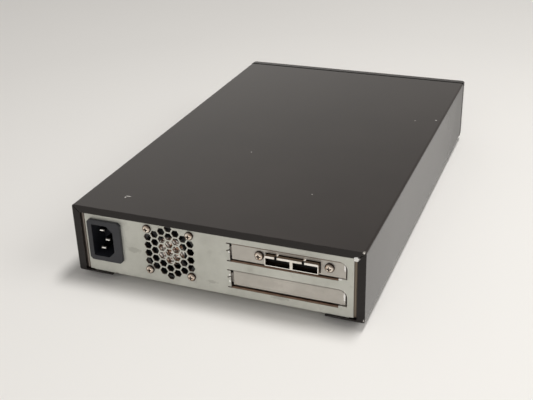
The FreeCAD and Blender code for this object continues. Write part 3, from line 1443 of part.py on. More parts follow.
# ---------------------------------------------------------------- power supply and cables
def supply_tray():
    """Open steel channel on the pan, with four standoffs."""
    x0, x1, y0, y1 = supply_x0, supply_x1, supply_y0, supply_y1
    tray = block(x0, x1, y0, y1, pan_top, pan_top + supply_height)
    inside = block(x0 + supply_sheet, x1 - supply_sheet, y0 - 1, y1 + 1, pan_top + supply_sheet,
                   pan_top + supply_height + 1)
    tray = without(tray, inside)
    posts = [rod(standoff_radius, (x, y, pan_top + supply_sheet - 0.1), Z, standoff + 0.1)
             for x, y in supply_post_places()]
    tray = joined(tray, *posts)
    vents = []
    half = supply_vent_width / 2
    for i in range(supply_vents):
        y = y0 + supply_vent_set + i * (supply_length - 2 * supply_vent_set) / (supply_vents - 1)
        vents.append(block(x0 - 1, x1 + 1, y - half, y + half, pan_top + supply_height / 3,
                           pan_top + supply_height * 0.78))
    return without(tray, *vents)


def supply_post_places():
    """Corners of the supply's board."""
    inset = supply_sheet + standoff_radius + part_gap
    return [(x, y) for x in (supply_x0 + inset, supply_x1 - inset)
            for y in (supply_y0 + post_set, supply_y1 - post_set)]


board_z = pan_top + supply_sheet + standoff
board_top = board_z + board_thick
supply_mid = (supply_x0 + supply_x1) / 2
sink_x0 = supply_x0 + supply_sheet + part_gap + heatsink_reach
sink_x1 = supply_x1 - supply_sheet - part_gap - heatsink_reach
parts_half = (sink_x1 - sink_x0) / 2 - heatsink_reach - part_gap
reservoir_radius = parts_half * 0.72
small_can_radius = (sink_x1 - sink_x0) / 6 - part_gap / 2
mains_end = supply_y1 - socket_set
choke_y1 = mains_end - socket_length - socket_space
socket_half = (supply_x1 - supply_x0) / 2 - supply_sheet - socket_margin
reservoir_y = choke_y1 - choke_length - part_gap - reservoir_radius
transformer_y1 = reservoir_y - reservoir_radius - part_gap - winding_out


def supply_board():
    """The supply's board."""
    side = supply_sheet + board_side
    return block(supply_x0 + side, supply_x1 - side, supply_y0 + board_set, supply_y1 - board_set,
                 board_z, board_top)


def supply_heatsinks():
    """Two finned aluminium bars on the board."""
    made = []
    y1 = transformer_y1 + part_gap
    for x, y in ((sink_x0, y1 - heatsink_length), (sink_x1, y1 - heatsink_length * 1.5)):
        top = board_top + heatsink_height
        web = block(x - heatsink_web / 2, x + heatsink_web / 2, y, y + heatsink_length, board_top, top)
        step = (heatsink_length - fin_sheet) / (heatsink_fins - 1)
        fins = [block(x - heatsink_reach, x + heatsink_reach, y + i * step, y + i * step + fin_sheet,
                      board_top + heatsink_height / 5, top) for i in range(heatsink_fins)]
        made.append(joined(web, *fins))
    return group(*made)


def supply_parts():
    """Transformer, choke, reservoir capacitor and three small cans on the board."""
    y1 = transformer_y1
    y0 = y1 - transformer_length
    core = block(supply_mid - parts_half, supply_mid + parts_half, y0, y1, board_top,
                 board_top + transformer_height)
    winding = block(supply_mid - parts_half * 0.72, supply_mid + parts_half * 0.72, y0 - winding_out,
                    y1 + winding_out, board_top + transformer_height / 6, board_top + transformer_height * 0.84)
    choke = block(supply_mid - parts_half * 0.8, supply_mid + parts_half * 0.8, choke_y1 - choke_length,
                  choke_y1, board_top, board_top + choke_height)
    reservoir = rod(reservoir_radius, (supply_mid, reservoir_y, board_top), Z, reservoir_height)
    can_y = supply_y0 + socket_set + socket_length + socket_space + small_can_radius
    can_step = 2 * small_can_radius + part_gap
    cans = [rod(small_can_radius, (supply_mid + i * can_step, can_y, board_top), Z, small_can_height)
            for i in (-1, 0, 1)]
    return group(joined(core, winding), choke, reservoir, *cans)


def supply_sockets():
    """Mains terminal at the supply's rear end, output and switch sockets at its front end."""
    top = board_top + socket_height
    half = socket_half
    front_y = supply_y0 + socket_set
    mains = block(supply_mid - half, supply_mid + half, mains_end - socket_length, mains_end, board_top, top)
    output = block(supply_mid - half, supply_mid + half * 0.4, front_y, front_y + socket_length,
                   board_top, top)
    switch = block(supply_mid + half * 0.52, supply_mid + half * 1.1, front_y, front_y + socket_length,
                   board_top, top)
    return group(mains, output, switch)


def mains_leads():
    """Three insulated leads from the inlet's tails to the supply."""
    made = []
    tail = panel_out - inlet_body_depth - blade_tail
    z_end = board_top + socket_height * 0.6
    lead_step = socket_half / 2
    cx = inlet_x + socket_shift_x
    starts = [(cx + blade_offset / 2, inlet_z + blade_pitch / 2, lead_step),
              (cx + blade_offset / 2, inlet_z - blade_pitch / 2, -lead_step),
              (cx - blade_offset / 2, inlet_z, 0.0)]
    for x, z, dx in starts:
        end_x = supply_mid + dx
        span = tail - mains_end
        route = [(x, tail, z), (x, tail - span * 0.3, z), (end_x, mains_end + span * 0.35, z_end),
                 (end_x, mains_end, z_end)]
        made.append(cable(lead_radius, route))
    return group(*made)


def output_cable():
    """Supply output to the drive's rear power socket, along the channel beside the drive."""
    z = board_top + socket_height / 2
    x_lane = (drive_x1 + supply_x0) / 2 + 1.1
    x_start = supply_mid - 4.0
    y_start = supply_y0 + socket_set
    end_z = plug_z
    end_y = drive_y1 + plug_out
    route = [(x_start, y_start, z), (x_start, y_start - 9.0, z), (x_lane, y_start - 9.0, z + 7.0),
             (x_lane, y_start + 16.0, z + 10.0), (x_lane, drive_y1 - 26.0, z + 10.0),
             (x_lane, drive_y1 + 2.0, z + 8.0), (x_lane - 8.0, end_y + 17.0, end_z + 3.0),
             (plug_x_power + 12.0, end_y + 17.0, end_z), (plug_x_power, end_y + 13.0, end_z),
             (plug_x_power, end_y, end_z)]
    return cable(output_radius, route)


def data_cable():
    """Data cable from the port board's socket to the drive's rear data socket."""
    _, high = shell_size()
    y_board = card_face - card_sheet - slip_gap - card_board_length
    z_board = port_z - high / 2 + 3.2
    y_drive = drive_y1 + plug_out
    span = y_board + 1.0 - y_drive
    route = [(port_x, y_board + 1.0, z_board), (port_x, y_board + 1.0 - span * 0.3, z_board),
             (plug_x_data, y_drive + span * 0.3, plug_z), (plug_x_data, y_drive, plug_z)]
    return cable(data_radius, route)


def fan_lead():
    """Fan's lead from its frame to the port board."""
    _, high = shell_size()
    y = panel_in - fan_depth + 6.0
    z = fan_z + 2.0
    x0 = fan_x - fan_size / 2
    board_edge = port_x + card_board_half
    end_z = port_z - high / 2 - board_thick / 2
    route = [(x0, y, z), (x0 - 10.0, y, z), (board_edge + 9.0, y - 9.0, end_z), (board_edge, y - 9.0, end_z)]
    return cable(fan_lead_radius, route)


def switch_lead():
    """Lead from the power switch to the supply."""
    y0 = switch_y + 1.0 + switch_depth + switch_bracket
    z_end = board_top + socket_height / 2
    x_end = supply_mid + socket_half * 0.8
    y_end = supply_y0 + socket_set
    span = y_end - y0
    route = [(power_x, y0, power_z), (power_x, y0 + span * 0.3, power_z), (x_end, y_end - span * 0.3, z_end),
             (x_end, y_end, z_end)]
    return cable(switch_lead_radius, route)


# ---------------------------------------------------------------- all nodes
nodes = {
    "top_cover": top_cover,
    "cover_screws": cover_screws,
    "base_pan": base_pan,
    "rear_panel": rear_panel,
    "slot_strips": slot_strips,
    "front_bezel": front_bezel,
    "feet": feet,
    "inlet_housing": inlet_housing,
    "inlet_blades": inlet_blades,
    "fan_frame": fan_frame,
    "fan_rotor": fan_rotor,
    "fan_screws": fan_screws,
    "port_card_plate": port_card_plate,
    "blank_card_plate": blank_card_plate,
    "port_shell": port_shell,
    "port_inserts": port_inserts,
    "port_screws": port_screws,
    "port_board": port_board,
    "card_rail": card_rail,
    "card_screws": card_screws,
    "drive_casting": drive_casting,
    "drive_lid": drive_lid,
    "drive_board": drive_board,
    "drive_plugs": drive_plugs,
    "drive_rails": drive_rails,
    "drive_screws": drive_screws,
    "drive_face": drive_face,
    "status_lights": status_lights,
    "display_window": display_window,
    "cartridge_door": cartridge_door,
    "eject_button": eject_button,
    "button_board": button_board,
    "power_button": power_button,
    "power_switch": power_switch,
    "cartridge_carrier": carrier,
    "loader_pinion": loader_pinion,
    "loader_motor": loader_motor,
    "loader_guides": loader_guides,
    "takeup_reel": takeup_reel,
    "reel_motors": reel_motors,
    "supply_clutch": supply_clutch,
    "roller_pins": roller_pins,
    "head_mount": head_mount,
    "tape_head": tape_head,
    "supply_tray": supply_tray,
    "supply_board": supply_board,
    "supply_heatsinks": supply_heatsinks,
    "supply_parts": supply_parts,
    "supply_sockets": supply_sockets,
    "mains_leads": mains_leads,
    "output_cable": output_cable,
    "data_cable": data_cable,
    "fan_lead": fan_lead,
    "switch_lead": switch_lead,
}
for number in range(len(roller_places())):
    nodes["guide_roller_%d" % (number + 1)] = lambda number=number: guide_roller(number)

os.makedirs("parts", exist_ok=True)
for name, make in nodes.items():
    shape = make()
    shape.exportStep("parts/" + name + ".step")
    print("%-20s solids %d  valid %s  volume %.1f"
          % (name, len(shape.Solids), shape.isValid(), shape.Volume))
print("cable bend radii", bend_radii)
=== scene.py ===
import bpy
import numpy as np
from mathutils import Matrix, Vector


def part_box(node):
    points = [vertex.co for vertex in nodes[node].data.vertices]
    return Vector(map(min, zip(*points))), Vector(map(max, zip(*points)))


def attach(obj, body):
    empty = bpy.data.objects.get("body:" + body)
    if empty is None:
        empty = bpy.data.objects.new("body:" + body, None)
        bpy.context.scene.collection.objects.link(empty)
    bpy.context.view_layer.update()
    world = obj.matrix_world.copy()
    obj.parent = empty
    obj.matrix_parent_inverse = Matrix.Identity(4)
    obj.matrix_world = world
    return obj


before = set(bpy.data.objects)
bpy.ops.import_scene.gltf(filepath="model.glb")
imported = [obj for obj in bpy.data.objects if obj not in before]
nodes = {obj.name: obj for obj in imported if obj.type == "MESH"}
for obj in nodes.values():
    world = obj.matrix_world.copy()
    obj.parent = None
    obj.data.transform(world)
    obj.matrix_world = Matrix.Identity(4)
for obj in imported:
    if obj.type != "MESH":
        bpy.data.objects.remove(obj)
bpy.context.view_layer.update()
mm = 0.001
print("frame loaded, nodes:", len(nodes))


# ---- camera ----
cameraSettings = {
    "place": (-0.22863, 0.63059, 0.33276),
    "right": (-0.93071714, -0.36476218, -0.02672387),
    "up": (0.14066269, -0.42444275, 0.89446205),
    "back": (-0.33760868, 0.82873211, 0.44634457),
    "lens": 59.68,
    "sensorWidth": 36.0,
}


def addCamera(s):
    camera = bpy.data.objects.new("tapeDriveCamera", bpy.data.cameras.new("tapeDriveCamera"))
    camera.data.lens = s["lens"]
    camera.data.sensor_width = s["sensorWidth"]
    camera.data.clip_start = 0.01
    turn = Matrix((s["right"], s["up"], s["back"])).transposed()
    camera.matrix_world = Matrix.Translation(s["place"]) @ turn.to_4x4()
    bpy.context.scene.collection.objects.link(camera)
    bpy.context.scene.camera = camera


addCamera(cameraSettings)
print("camera set")


# ---- material helpers ----
def startMaterial(name):
    material = bpy.data.materials.new(name)
    material.use_nodes = True
    tree = material.node_tree
    shader = tree.nodes["Principled BSDF"]
    place = tree.nodes.new("ShaderNodeTexCoord")
    return material, tree, shader, place.outputs["Object"]


def addNoise(tree, vector, scale, detail=3.0, rough=0.5, stretch=(1, 1, 1)):
    # stretch squeezes the pattern along an axis, so that grain and brushing can run one way
    mapping = tree.nodes.new("ShaderNodeMapping")
    mapping.inputs["Scale"].default_value = stretch
    tree.links.new(vector, mapping.inputs["Vector"])
    noise = tree.nodes.new("ShaderNodeTexNoise")
    noise.inputs["Scale"].default_value = scale
    noise.inputs["Detail"].default_value = detail
    noise.inputs["Roughness"].default_value = rough
    tree.links.new(mapping.outputs["Vector"], noise.inputs["Vector"])
    return noise.outputs["Fac"]


def addRamp(tree, value, stops):
    ramp = tree.nodes.new("ShaderNodeValToRGB")
    elements = ramp.color_ramp.elements
    while len(elements) < len(stops):
        elements.new(0.5)
    for element, (position, colour) in zip(elements, stops):
        element.position = position
        element.color = tuple(colour) + (1.0,)
    tree.links.new(value, ramp.inputs["Fac"])
    return ramp.outputs["Color"]


def addRange(tree, value, low, high, fromLow=0.3, fromHigh=0.7):
    ranged = tree.nodes.new("ShaderNodeMapRange")
    ranged.inputs["From Min"].default_value = fromLow
    ranged.inputs["From Max"].default_value = fromHigh
    ranged.inputs["To Min"].default_value = low
    ranged.inputs["To Max"].default_value = high
    tree.links.new(value, ranged.inputs["Value"])
    return ranged.outputs["Result"]


def addMix(tree, share, first, second):
    mix = tree.nodes.new("ShaderNodeMix")
    mix.data_type = "RGBA"
    tree.links.new(share, mix.inputs["Factor"])
    for socket, value in ((mix.inputs["A"], first), (mix.inputs["B"], second)):
        if isinstance(value, tuple):
            socket.default_value = value + (1.0,)
        else:
            tree.links.new(value, socket)
    return mix.outputs["Result"]


def addMath(tree, operation, first, second=0.0, clamp=False):
    made = tree.nodes.new("ShaderNodeMath")
    made.operation = operation
    made.use_clamp = clamp
    for socket, value in zip(made.inputs, (first, second)):
        if isinstance(value, (int, float)):
            socket.default_value = value
        else:
            tree.links.new(value, socket)
    return made.outputs["Value"]


def addSplit(tree, vector):
    made = tree.nodes.new("ShaderNodeSeparateXYZ")
    tree.links.new(vector, made.inputs["Vector"])
    return made.outputs


def addSpots(tree, place, spots, ragged=0.35, grain=900.0):
    # each spot is a middle and three half sizes; its share falls from 1 to 0 across a ragged rim
    noise = addNoise(tree, place, grain, 3.0, 0.6)
    shift = addRange(tree, noise, -ragged, ragged, 0.25, 0.75)
    total = None
    for middle, half in spots:
        away = tree.nodes.new("ShaderNodeVectorMath")
        away.operation = "SUBTRACT"
        tree.links.new(place, away.inputs[0])
        away.inputs[1].default_value = middle
        scaled = tree.nodes.new("ShaderNodeVectorMath")
        scaled.operation = "DIVIDE"
        tree.links.new(away.outputs["Vector"], scaled.inputs[0])
        scaled.inputs[1].default_value = half
        length = tree.nodes.new("ShaderNodeVectorMath")
        length.operation = "LENGTH"
        tree.links.new(scaled.outputs["Vector"], length.inputs[0])
        share = addRange(tree, addMath(tree, "ADD", length.outputs["Value"], shift), 1.0, 0.0, 0.7, 1.1)
        total = share if total is None else addMath(tree, "MAXIMUM", total, share)
    return total


def addBand(tree, value, low, high, soft):
    # 1 between low and high, fading to 0 over soft beyond them
    away = addMath(tree, "ABSOLUTE", addMath(tree, "SUBTRACT", value, (low + high) / 2))
    return addRange(tree, away, 1.0, 0.0, (high - low) / 2, (high - low) / 2 + soft)


def addFacing(tree, axis, low, high):
    # 1 where the surface looks along the axis, 0 where it lies along it
    geometry = tree.nodes.new("ShaderNodeNewGeometry")
    parts = addSplit(tree, geometry.outputs["Normal"])
    return addRange(tree, addMath(tree, "ABSOLUTE", parts["XYZ".index(axis)]), 0.0, 1.0, low, high)


def addBump(tree, shader, height, distance, strength=1.0, edge=0.0):
    # edge rounds the light along sharp corners by that radius
    bump = tree.nodes.new("ShaderNodeBump")
    bump.inputs["Strength"].default_value = strength
    bump.inputs["Distance"].default_value = distance
    tree.links.new(height, bump.inputs["Height"])
    if edge > 0.0:
        bevel = tree.nodes.new("ShaderNodeBevel")
        bevel.samples = 4
        bevel.inputs["Radius"].default_value = edge
        tree.links.new(bevel.outputs["Normal"], bump.inputs["Normal"])
    tree.links.new(bump.outputs["Normal"], shader.inputs["Normal"])


def dress(material, *names):
    for name in names:
        slots = nodes[name].data.materials
        slots.clear()
        slots.append(material)
    return material


# ---- surface helper ----
def makeShell(name, rows, material):
    # rows run from one pole to the other and their columns close round; each pole becomes one point,
    # so the shell has no open edge, and its faces are turned to give it a positive volume
    rows = np.asarray(rows, dtype=float)
    count, around = rows.shape[0] - 2, rows.shape[1]
    points = np.vstack((rows[0].mean(axis=0), rows[1:-1].reshape(-1, 3), rows[-1].mean(axis=0)))
    column = np.arange(around)
    ahead = (column + 1) % around
    starts = 1 + np.arange(count - 1)[:, None] * around
    quads = np.stack((starts + column, starts + ahead, starts + around + ahead, starts + around + column), -1)
    last = 1 + (count - 1) * around
    top = np.stack((np.zeros(around, dtype=int), 1 + ahead, 1 + column), -1)
    end = np.stack((np.full(around, len(points) - 1), last + column, last + ahead), -1)
    quads = quads.reshape(-1, 4)
    corners = points[quads]
    volume = np.einsum("ij,ij->i", corners[:, 0], np.cross(corners[:, 1], corners[:, 2])).sum()
    volume += np.einsum("ij,ij->i", corners[:, 0], np.cross(corners[:, 2], corners[:, 3])).sum()
    caps = np.vstack((top, end))
    tips = points[caps]
    volume += np.einsum("ij,ij->i", tips[:, 0], np.cross(tips[:, 1], tips[:, 2])).sum()
    if volume < 0:
        quads, caps = quads[:, ::-1], caps[:, ::-1]
    mesh = bpy.data.meshes.new(name)
    mesh.from_pydata(points.tolist(), [], quads.tolist() + caps.tolist())
    mesh.polygons.foreach_set("use_smooth", np.ones(len(mesh.polygons), dtype=bool))
    mesh.materials.append(material)
    mesh.update()
    made = bpy.data.objects.new(name, mesh)
    bpy.context.scene.collection.objects.link(made)
    return made


# ---- black powder coat on the cover ----
coverLow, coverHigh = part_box("top_cover")
coatSettings = {
    "dark": (0.0125, 0.0088, 0.0074),
    "light": (0.0180, 0.0132, 0.0112),
    # painted shade on the rear fold and the frame's face: its colour, and its share on the frame's face
    "fold": (0.0050, 0.0046, 0.0048),
    "frameShadeShare": 0.40,
    "rough": (0.13, 0.18),
    "peelScale": 520.0,
    "peelHeight": 0.00004,
    "edge": 0.0005,
    "wornColour": (0.055, 0.050, 0.046),
    "bareColour": (0.78, 0.75, 0.71),
    "dustColour": (0.46, 0.44, 0.41),
    # how far in each mark's middle is from the low X side, the rear and the top, then its half sizes, in mm
    "bare": (((5.7, 0.0, 5.0), (1.6, 1.2, 0.7)),
             ((1.6, 0.4, 0.4), (0.8, 1.2, 0.8)),
             ((0.7, 0.9, 50.5), (0.8, 1.0, 1.6))),
    "dust": (((180.7, 23.6, 0.0), (2.2, 0.6, 0.6)),
             ((182.2, 21.6, 0.0), (0.6, 1.1, 0.6)),
             ((21.5, 227.0, 0.0), (0.6, 0.5, 0.6)),
             ((5.1, 233.0, 0.0), (0.9, 0.8, 0.6)),
             ((127.5, 123.4, 0.0), (0.5, 0.5, 0.4)),
             ((58.5, 67.4, 0.0), (0.4, 0.6, 0.4))),
    # the sides get rougher towards the front, to even out their sheen: how much, and from where to where in mm
    "frontRough": 0.16,
    "roughFrom": 70.0,
    "roughTo": 330.0,
}


def fromCover(marks):
    placed = []
    for (x, y, z), half in marks:
        middle = (coverLow[0] + x * mm, coverHigh[1] - y * mm, coverHigh[2] - z * mm)
        placed.append((middle, tuple(size * mm for size in half)))
    return placed


def makePowderCoat(s):
    material, tree, shader, place = startMaterial("blackPowderCoat")
    cloud = addNoise(tree, place, 11.0, 5.0, 0.6)
    colour = addRamp(tree, cloud, ((0.35, s["dark"]), (0.68, s["light"])))
    # the folds are worn a little paler: there the rounded normal turns away from the true one
    bevel = tree.nodes.new("ShaderNodeBevel")
    bevel.samples = 4
    bevel.inputs["Radius"].default_value = s["edge"] * 2
    geometry = tree.nodes.new("ShaderNodeNewGeometry")
    turn = tree.nodes.new("ShaderNodeVectorMath")
    turn.operation = "DOT_PRODUCT"
    tree.links.new(bevel.outputs["Normal"], turn.inputs[0])
    tree.links.new(geometry.outputs["Normal"], turn.inputs[1])
    patchy = addRange(tree, addNoise(tree, place, 140.0, 4.0, 0.65), 0.0, 1.0, 0.48, 0.66)
    worn = addMath(tree, "MULTIPLY", addRange(tree, turn.outputs["Value"], 1.0, 0.0, 0.90, 0.985), patchy)
    colour = addMix(tree, worn, colour, s["wornColour"])
    # painted shade: the rear fold and the frame's face are partly metallic and very dark, which lowers their
    # sheen
    facing = addMath(tree, "MINIMUM", addFacing(tree, "Y", 0.0, 1.0), addFacing(tree, "Z", 0.0, 1.0))
    frameFaceShade = addMath(tree, "MULTIPLY", addFacing(tree, "Y", 0.80, 0.98), s["frameShadeShare"])
    fold = addMath(tree, "MAXIMUM", addRange(tree, facing, 0.0, 0.85, 0.06, 0.20), frameFaceShade)
    colour = addMix(tree, fold, colour, s["fold"])
    colour = addMix(tree, addSpots(tree, place, fromCover(s["dust"])), colour, s["dustColour"])
    bare = addSpots(tree, place, fromCover(s["bare"]), 0.45, 1400.0)
    colour = addMix(tree, bare, colour, s["bareColour"])
    tree.links.new(colour, shader.inputs["Base Color"])
    tree.links.new(addMath(tree, "MAXIMUM", bare, fold), shader.inputs["Metallic"])
    ahead = addRange(tree, addSplit(tree, place)[1], 0.0, s["frontRough"],
                     coverHigh[1] - s["roughFrom"] * mm, coverHigh[1] - s["roughTo"] * mm)
    rougher = addMath(tree, "MULTIPLY", ahead, addFacing(tree, "X", 0.5, 0.9))
    tree.links.new(addMath(tree, "ADD", addRange(tree, cloud, *s["rough"]), rougher), shader.inputs["Roughness"])
    peel = addNoise(tree, place, s["peelScale"], 2.0, 0.4)
    addBump(tree, shader, peel, s["peelHeight"], 0.3, s["edge"])
    return material


dress(makePowderCoat(coatSettings), "top_cover")


# ---- zinc-coated sheet: back panel, pan and card plates ----
panelLow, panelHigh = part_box("rear_panel")
zincSettings = {
    # the smudge colours serve handling marks and, on the blank plate, the painted shade of its stamped line
    "back": {"dark": (0.49, 0.49, 0.44), "light": (0.62, 0.62, 0.565), "rough": (0.42, 0.55), "metal": 0.5,
             "raw": (0.16, 0.105, 0.075), "smudgeAndShade": (0.30, 0.29, 0.26), "grain": 0.35,
             "marks": ((158.9, 22.4, 5.2, 2.2), (99.6, 8.4, 4.2, 1.4), (50.6, 5.4, 8.0, 1.2))},
    "pan": {"dark": (0.34, 0.31, 0.275), "light": (0.47, 0.445, 0.40), "rough": (0.38, 0.50), "metal": 0.7,
            "raw": (0.17, 0.115, 0.085), "smudgeAndShade": (0.24, 0.215, 0.19), "grain": 0.3, "marks": ()},
    "card": {"dark": (0.43, 0.405, 0.365), "light": (0.56, 0.53, 0.48), "rough": (0.32, 0.44), "metal": 0.55,
             "raw": (0.16, 0.105, 0.075), "smudgeAndShade": (0.44, 0.41, 0.37), "grain": 0.3,
             "marks": ((59.1, 14.9, 11.0, 2.8), (28.6, 12.4, 14.0, 2.2))},
}
# painted highlights: bright bits at the slots' ends and the card plates' folded ends
paintedGlints = ((9.3, 28.4, 1.5, 0.8), (8.5, 8.8, 1.5, 0.8), (86.4, 16.4, 0.7, 1.0), (86.6, 11.6, 0.7, 1.0),
             (86.2, 34.3, 0.6, 0.8), (6.2, 15.6, 0.8, 4.6), (6.1, 37.2, 0.6, 3.0))
glintColour = (0.92, 0.91, 0.88)


def fromPanel(marks):
    # each mark is how far its middle is from the panel's low X side and from its foot, and two half sizes, in mm
    return [((panelLow[0] + x * mm, panelHigh[1], panelLow[2] + z * mm), (wide * mm, 1.2 * mm, high * mm))
            for x, z, wide, high in marks]


def makeZinc(name, s, cutFrom, stampShade=None, paintedBands=()):
    material, tree, shader, place = startMaterial(name)
    cloud = addNoise(tree, place, 34.0, 6.0, 0.62)
    colour = addRamp(tree, cloud, ((0.32, s["dark"]), (0.66, s["light"])))
    # handling marks: sparse darker patches, with a few at set places
    patch = addRange(tree, addNoise(tree, place, 95.0, 4.0, 0.6), 0.0, 0.34, 0.56, 0.74)
    if s["marks"]:
        patch = addMath(tree, "MAXIMUM", patch, addMath(
            tree, "MULTIPLY", addSpots(tree, place, fromPanel(s["marks"]), 0.55, 420.0), 0.42))
    colour = addMix(tree, patch, colour, s["smudgeAndShade"])
    # painted highlights at the slots' ends and the card plates' folded ends
    if s["marks"]:
        colour = addMix(tree, addSpots(tree, place, fromPanel(paintedGlints), 0.3, 900.0), colour, glintColour)
    metal = s["metal"]
    parts = addSplit(tree, place)
    if stampShade:
        # painted shade: a faint dark line where the plate's stamped rim bends away, set in from the plate's edges
        x0, x1, z0, z1, inset, wide = stampShade
        fromX = addMath(tree, "MINIMUM", addMath(tree, "SUBTRACT", parts[0], x0),
                        addMath(tree, "SUBTRACT", x1, parts[0]))
        fromZ = addMath(tree, "MINIMUM", addMath(tree, "SUBTRACT", parts[2], z0),
                        addMath(tree, "SUBTRACT", z1, parts[2]))
        away = addMath(tree, "ABSOLUTE", addMath(tree, "SUBTRACT", addMath(tree, "MINIMUM", fromX, fromZ), inset))
        colour = addMix(tree, addRange(tree, away, 0.8, 0.0, 0.0, wide), colour, s["smudgeAndShade"])
    # sheared edges show bare, browned steel: the sheet's rim near the rear, where it doesn't face backwards
    rim = addMath(tree, "SUBTRACT", 1.0, addFacing(tree, "Y", 0.25, 0.75))
    rear = addMath(tree, "GREATER_THAN", parts[1], cutFrom)
    above = addMath(tree, "GREATER_THAN", parts[2], rawFrom)
    raw = addMath(tree, "MULTIPLY", addMath(tree, "MULTIPLY", rim, rear), above)
    for axis, low, high, share, tint in paintedBands:
        # painted light and shade: dark and pale strips, between two planes across one axis
        paintedStrip = addMath(tree, "MULTIPLY", addBand(tree, parts["XYZ".index(axis)], low, high, 0.00015), rear)
        colour = addMix(tree, addMath(tree, "MULTIPLY", paintedStrip, share), colour, tint)
    tree.links.new(addMix(tree, raw, colour, s["raw"]), shader.inputs["Base Color"])
    tree.links.new(addRange(tree, cloud, *s["rough"]), shader.inputs["Roughness"])
    shader.inputs["Metallic"].default_value = metal
    grain = addNoise(tree, place, 900.0, 2.0, 0.5, (1.0, 1.0, s["grain"]))
    addBump(tree, shader, grain, 0.00002, 0.25, 0.0002)
    return material


panelSheet = 1.0 * mm
rawFrom = 7.9 * mm          # sheet edges lower than this stay plain
panRim = panelHigh[1] - 2.2 * panelSheet
plateRim = panelHigh[1] - 1.4 * panelSheet
panLow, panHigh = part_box("base_pan")
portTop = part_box("port_card_plate")[1][2]
blankLow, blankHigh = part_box("blank_card_plate")
dress(makeZinc("zincBack", zincSettings["back"], panelHigh[1] - panelSheet), "rear_panel")
dress(makeZinc("zincInside", zincSettings["pan"], panelHigh[1]), "card_rail", "supply_tray", "drive_rails")
# the pan's two corner posts, beside the back panel: painted light and shade, browned and darkened strips with a
# painted highlight line on the inlet's side
postLightAndShade = (("X", panLow[0] + 1.7 * mm, panLow[0] + 11.2 * mm, 0.85, (0.21, 0.165, 0.120)),
             ("X", panLow[0] + 1.7 * mm, panLow[0] + 5.3 * mm, 0.7, (0.05, 0.038, 0.030)),
             ("X", panHigh[0] - 11.2 * mm, panHigh[0] - 1.7 * mm, 0.85, (0.065, 0.048, 0.040)),
             ("X", panHigh[0] - 5.8 * mm, panHigh[0] - 5.1 * mm, 0.9, (0.42, 0.36, 0.31)))
dress(makeZinc("zincPan", zincSettings["pan"], panRim, None, postLightAndShade), "base_pan")
# painted shade: a dark line along the port plate's top edge, in the gap under the slot's top
portTopShade = (("Z", portTop - 0.5 * mm, portTop + 1.0 * mm, 0.75, zincSettings["card"]["raw"]),)
dress(makeZinc("zincPort", zincSettings["card"], plateRim, None, portTopShade), "port_card_plate")
blankStampShade = (blankLow[0], blankHigh[0], blankLow[2], blankHigh[2], 1.8 * mm, 0.35 * mm)
dress(makeZinc("zincBlank", zincSettings["card"], plateRim, blankStampShade), "blank_card_plate")


# ---- plated and bare metals ----
metalSettings = {
    # the grime colours are also painted shade in recesses and on sides
    "brassedSteel": {"colour": (1.0, 0.91, 0.81), "worn": (0.66, 0.45, 0.31), "grimeAndShade": (0.030, 0.016, 0.010),
                     "rough": (0.05, 0.12), "axis": "Y", "facing": (0.55, 0.985), "speckle": 620.0},
    "zincedSteel": {"colour": (0.80, 0.76, 0.69), "worn": (0.56, 0.50, 0.43), "grimeAndShade": (0.07, 0.055, 0.045),
                    "rough": (0.14, 0.26), "axis": "Z", "facing": (0.12, 0.5)},
    "tinShell": {"colour": (0.88, 0.85, 0.80), "worn": (0.70, 0.65, 0.58), "grimeAndShade": (0.26, 0.19, 0.14),
                 "rough": (0.14, 0.26), "axis": "Y", "facing": (0.12, 0.5)},
    "castAlloy": {"colour": (0.62, 0.62, 0.63), "worn": (0.50, 0.50, 0.51), "rough": (0.46, 0.58)},
    "turnedAlloy": {"colour": (0.78, 0.78, 0.79), "worn": (0.66, 0.66, 0.67), "rough": (0.18, 0.30)},
    "lidSteel": {"colour": (0.56, 0.55, 0.53), "worn": (0.44, 0.43, 0.41), "rough": (0.32, 0.44)},
    "bladeNickel": {"colour": (0.95, 0.94, 0.91), "worn": (0.80, 0.78, 0.74), "grimeAndShade": (0.10, 0.095, 0.09),
                    "rough": (0.10, 0.20), "axis": "Y", "facing": (0.80, 0.98)},
    "stripCopper": {"colour": (0.27, 0.18, 0.13), "worn": (0.16, 0.105, 0.078), "rough": (0.30, 0.44)},
    "gearBrass": {"colour": (0.72, 0.55, 0.25), "worn": (0.55, 0.40, 0.18), "rough": (0.22, 0.34)},
    "foilSilver": {"colour": (0.80, 0.80, 0.79), "worn": (0.58, 0.56, 0.53), "rough": (0.12, 0.24)},
}


def makeMetal(name, s):
    material, tree, shader, place = startMaterial(name)
    wear = addNoise(tree, place, s.get("speckle", 150.0), 4.0, 0.6)
    brush = addNoise(tree, place, 1400.0, 2.0, 0.5, (1.0, 0.2, 1.0))
    colour = addRamp(tree, wear, ((0.30, s["worn"]), (0.58, s["colour"])))
    if "grimeAndShade" in s:
        # painted shade with some grime: recess walls and sides, which don't face along the axis, are darkened
        side = addMath(tree, "SUBTRACT", 1.0, addFacing(tree, s["axis"], *s["facing"]))
        colour = addMix(tree, side, colour, s["grimeAndShade"])
    tree.links.new(colour, shader.inputs["Base Color"])
    tree.links.new(addRange(tree, wear, *s["rough"]), shader.inputs["Roughness"])
    shader.inputs["Metallic"].default_value = 1.0
    addBump(tree, shader, brush, 0.00001, 0.2, 0.00012)
    return material


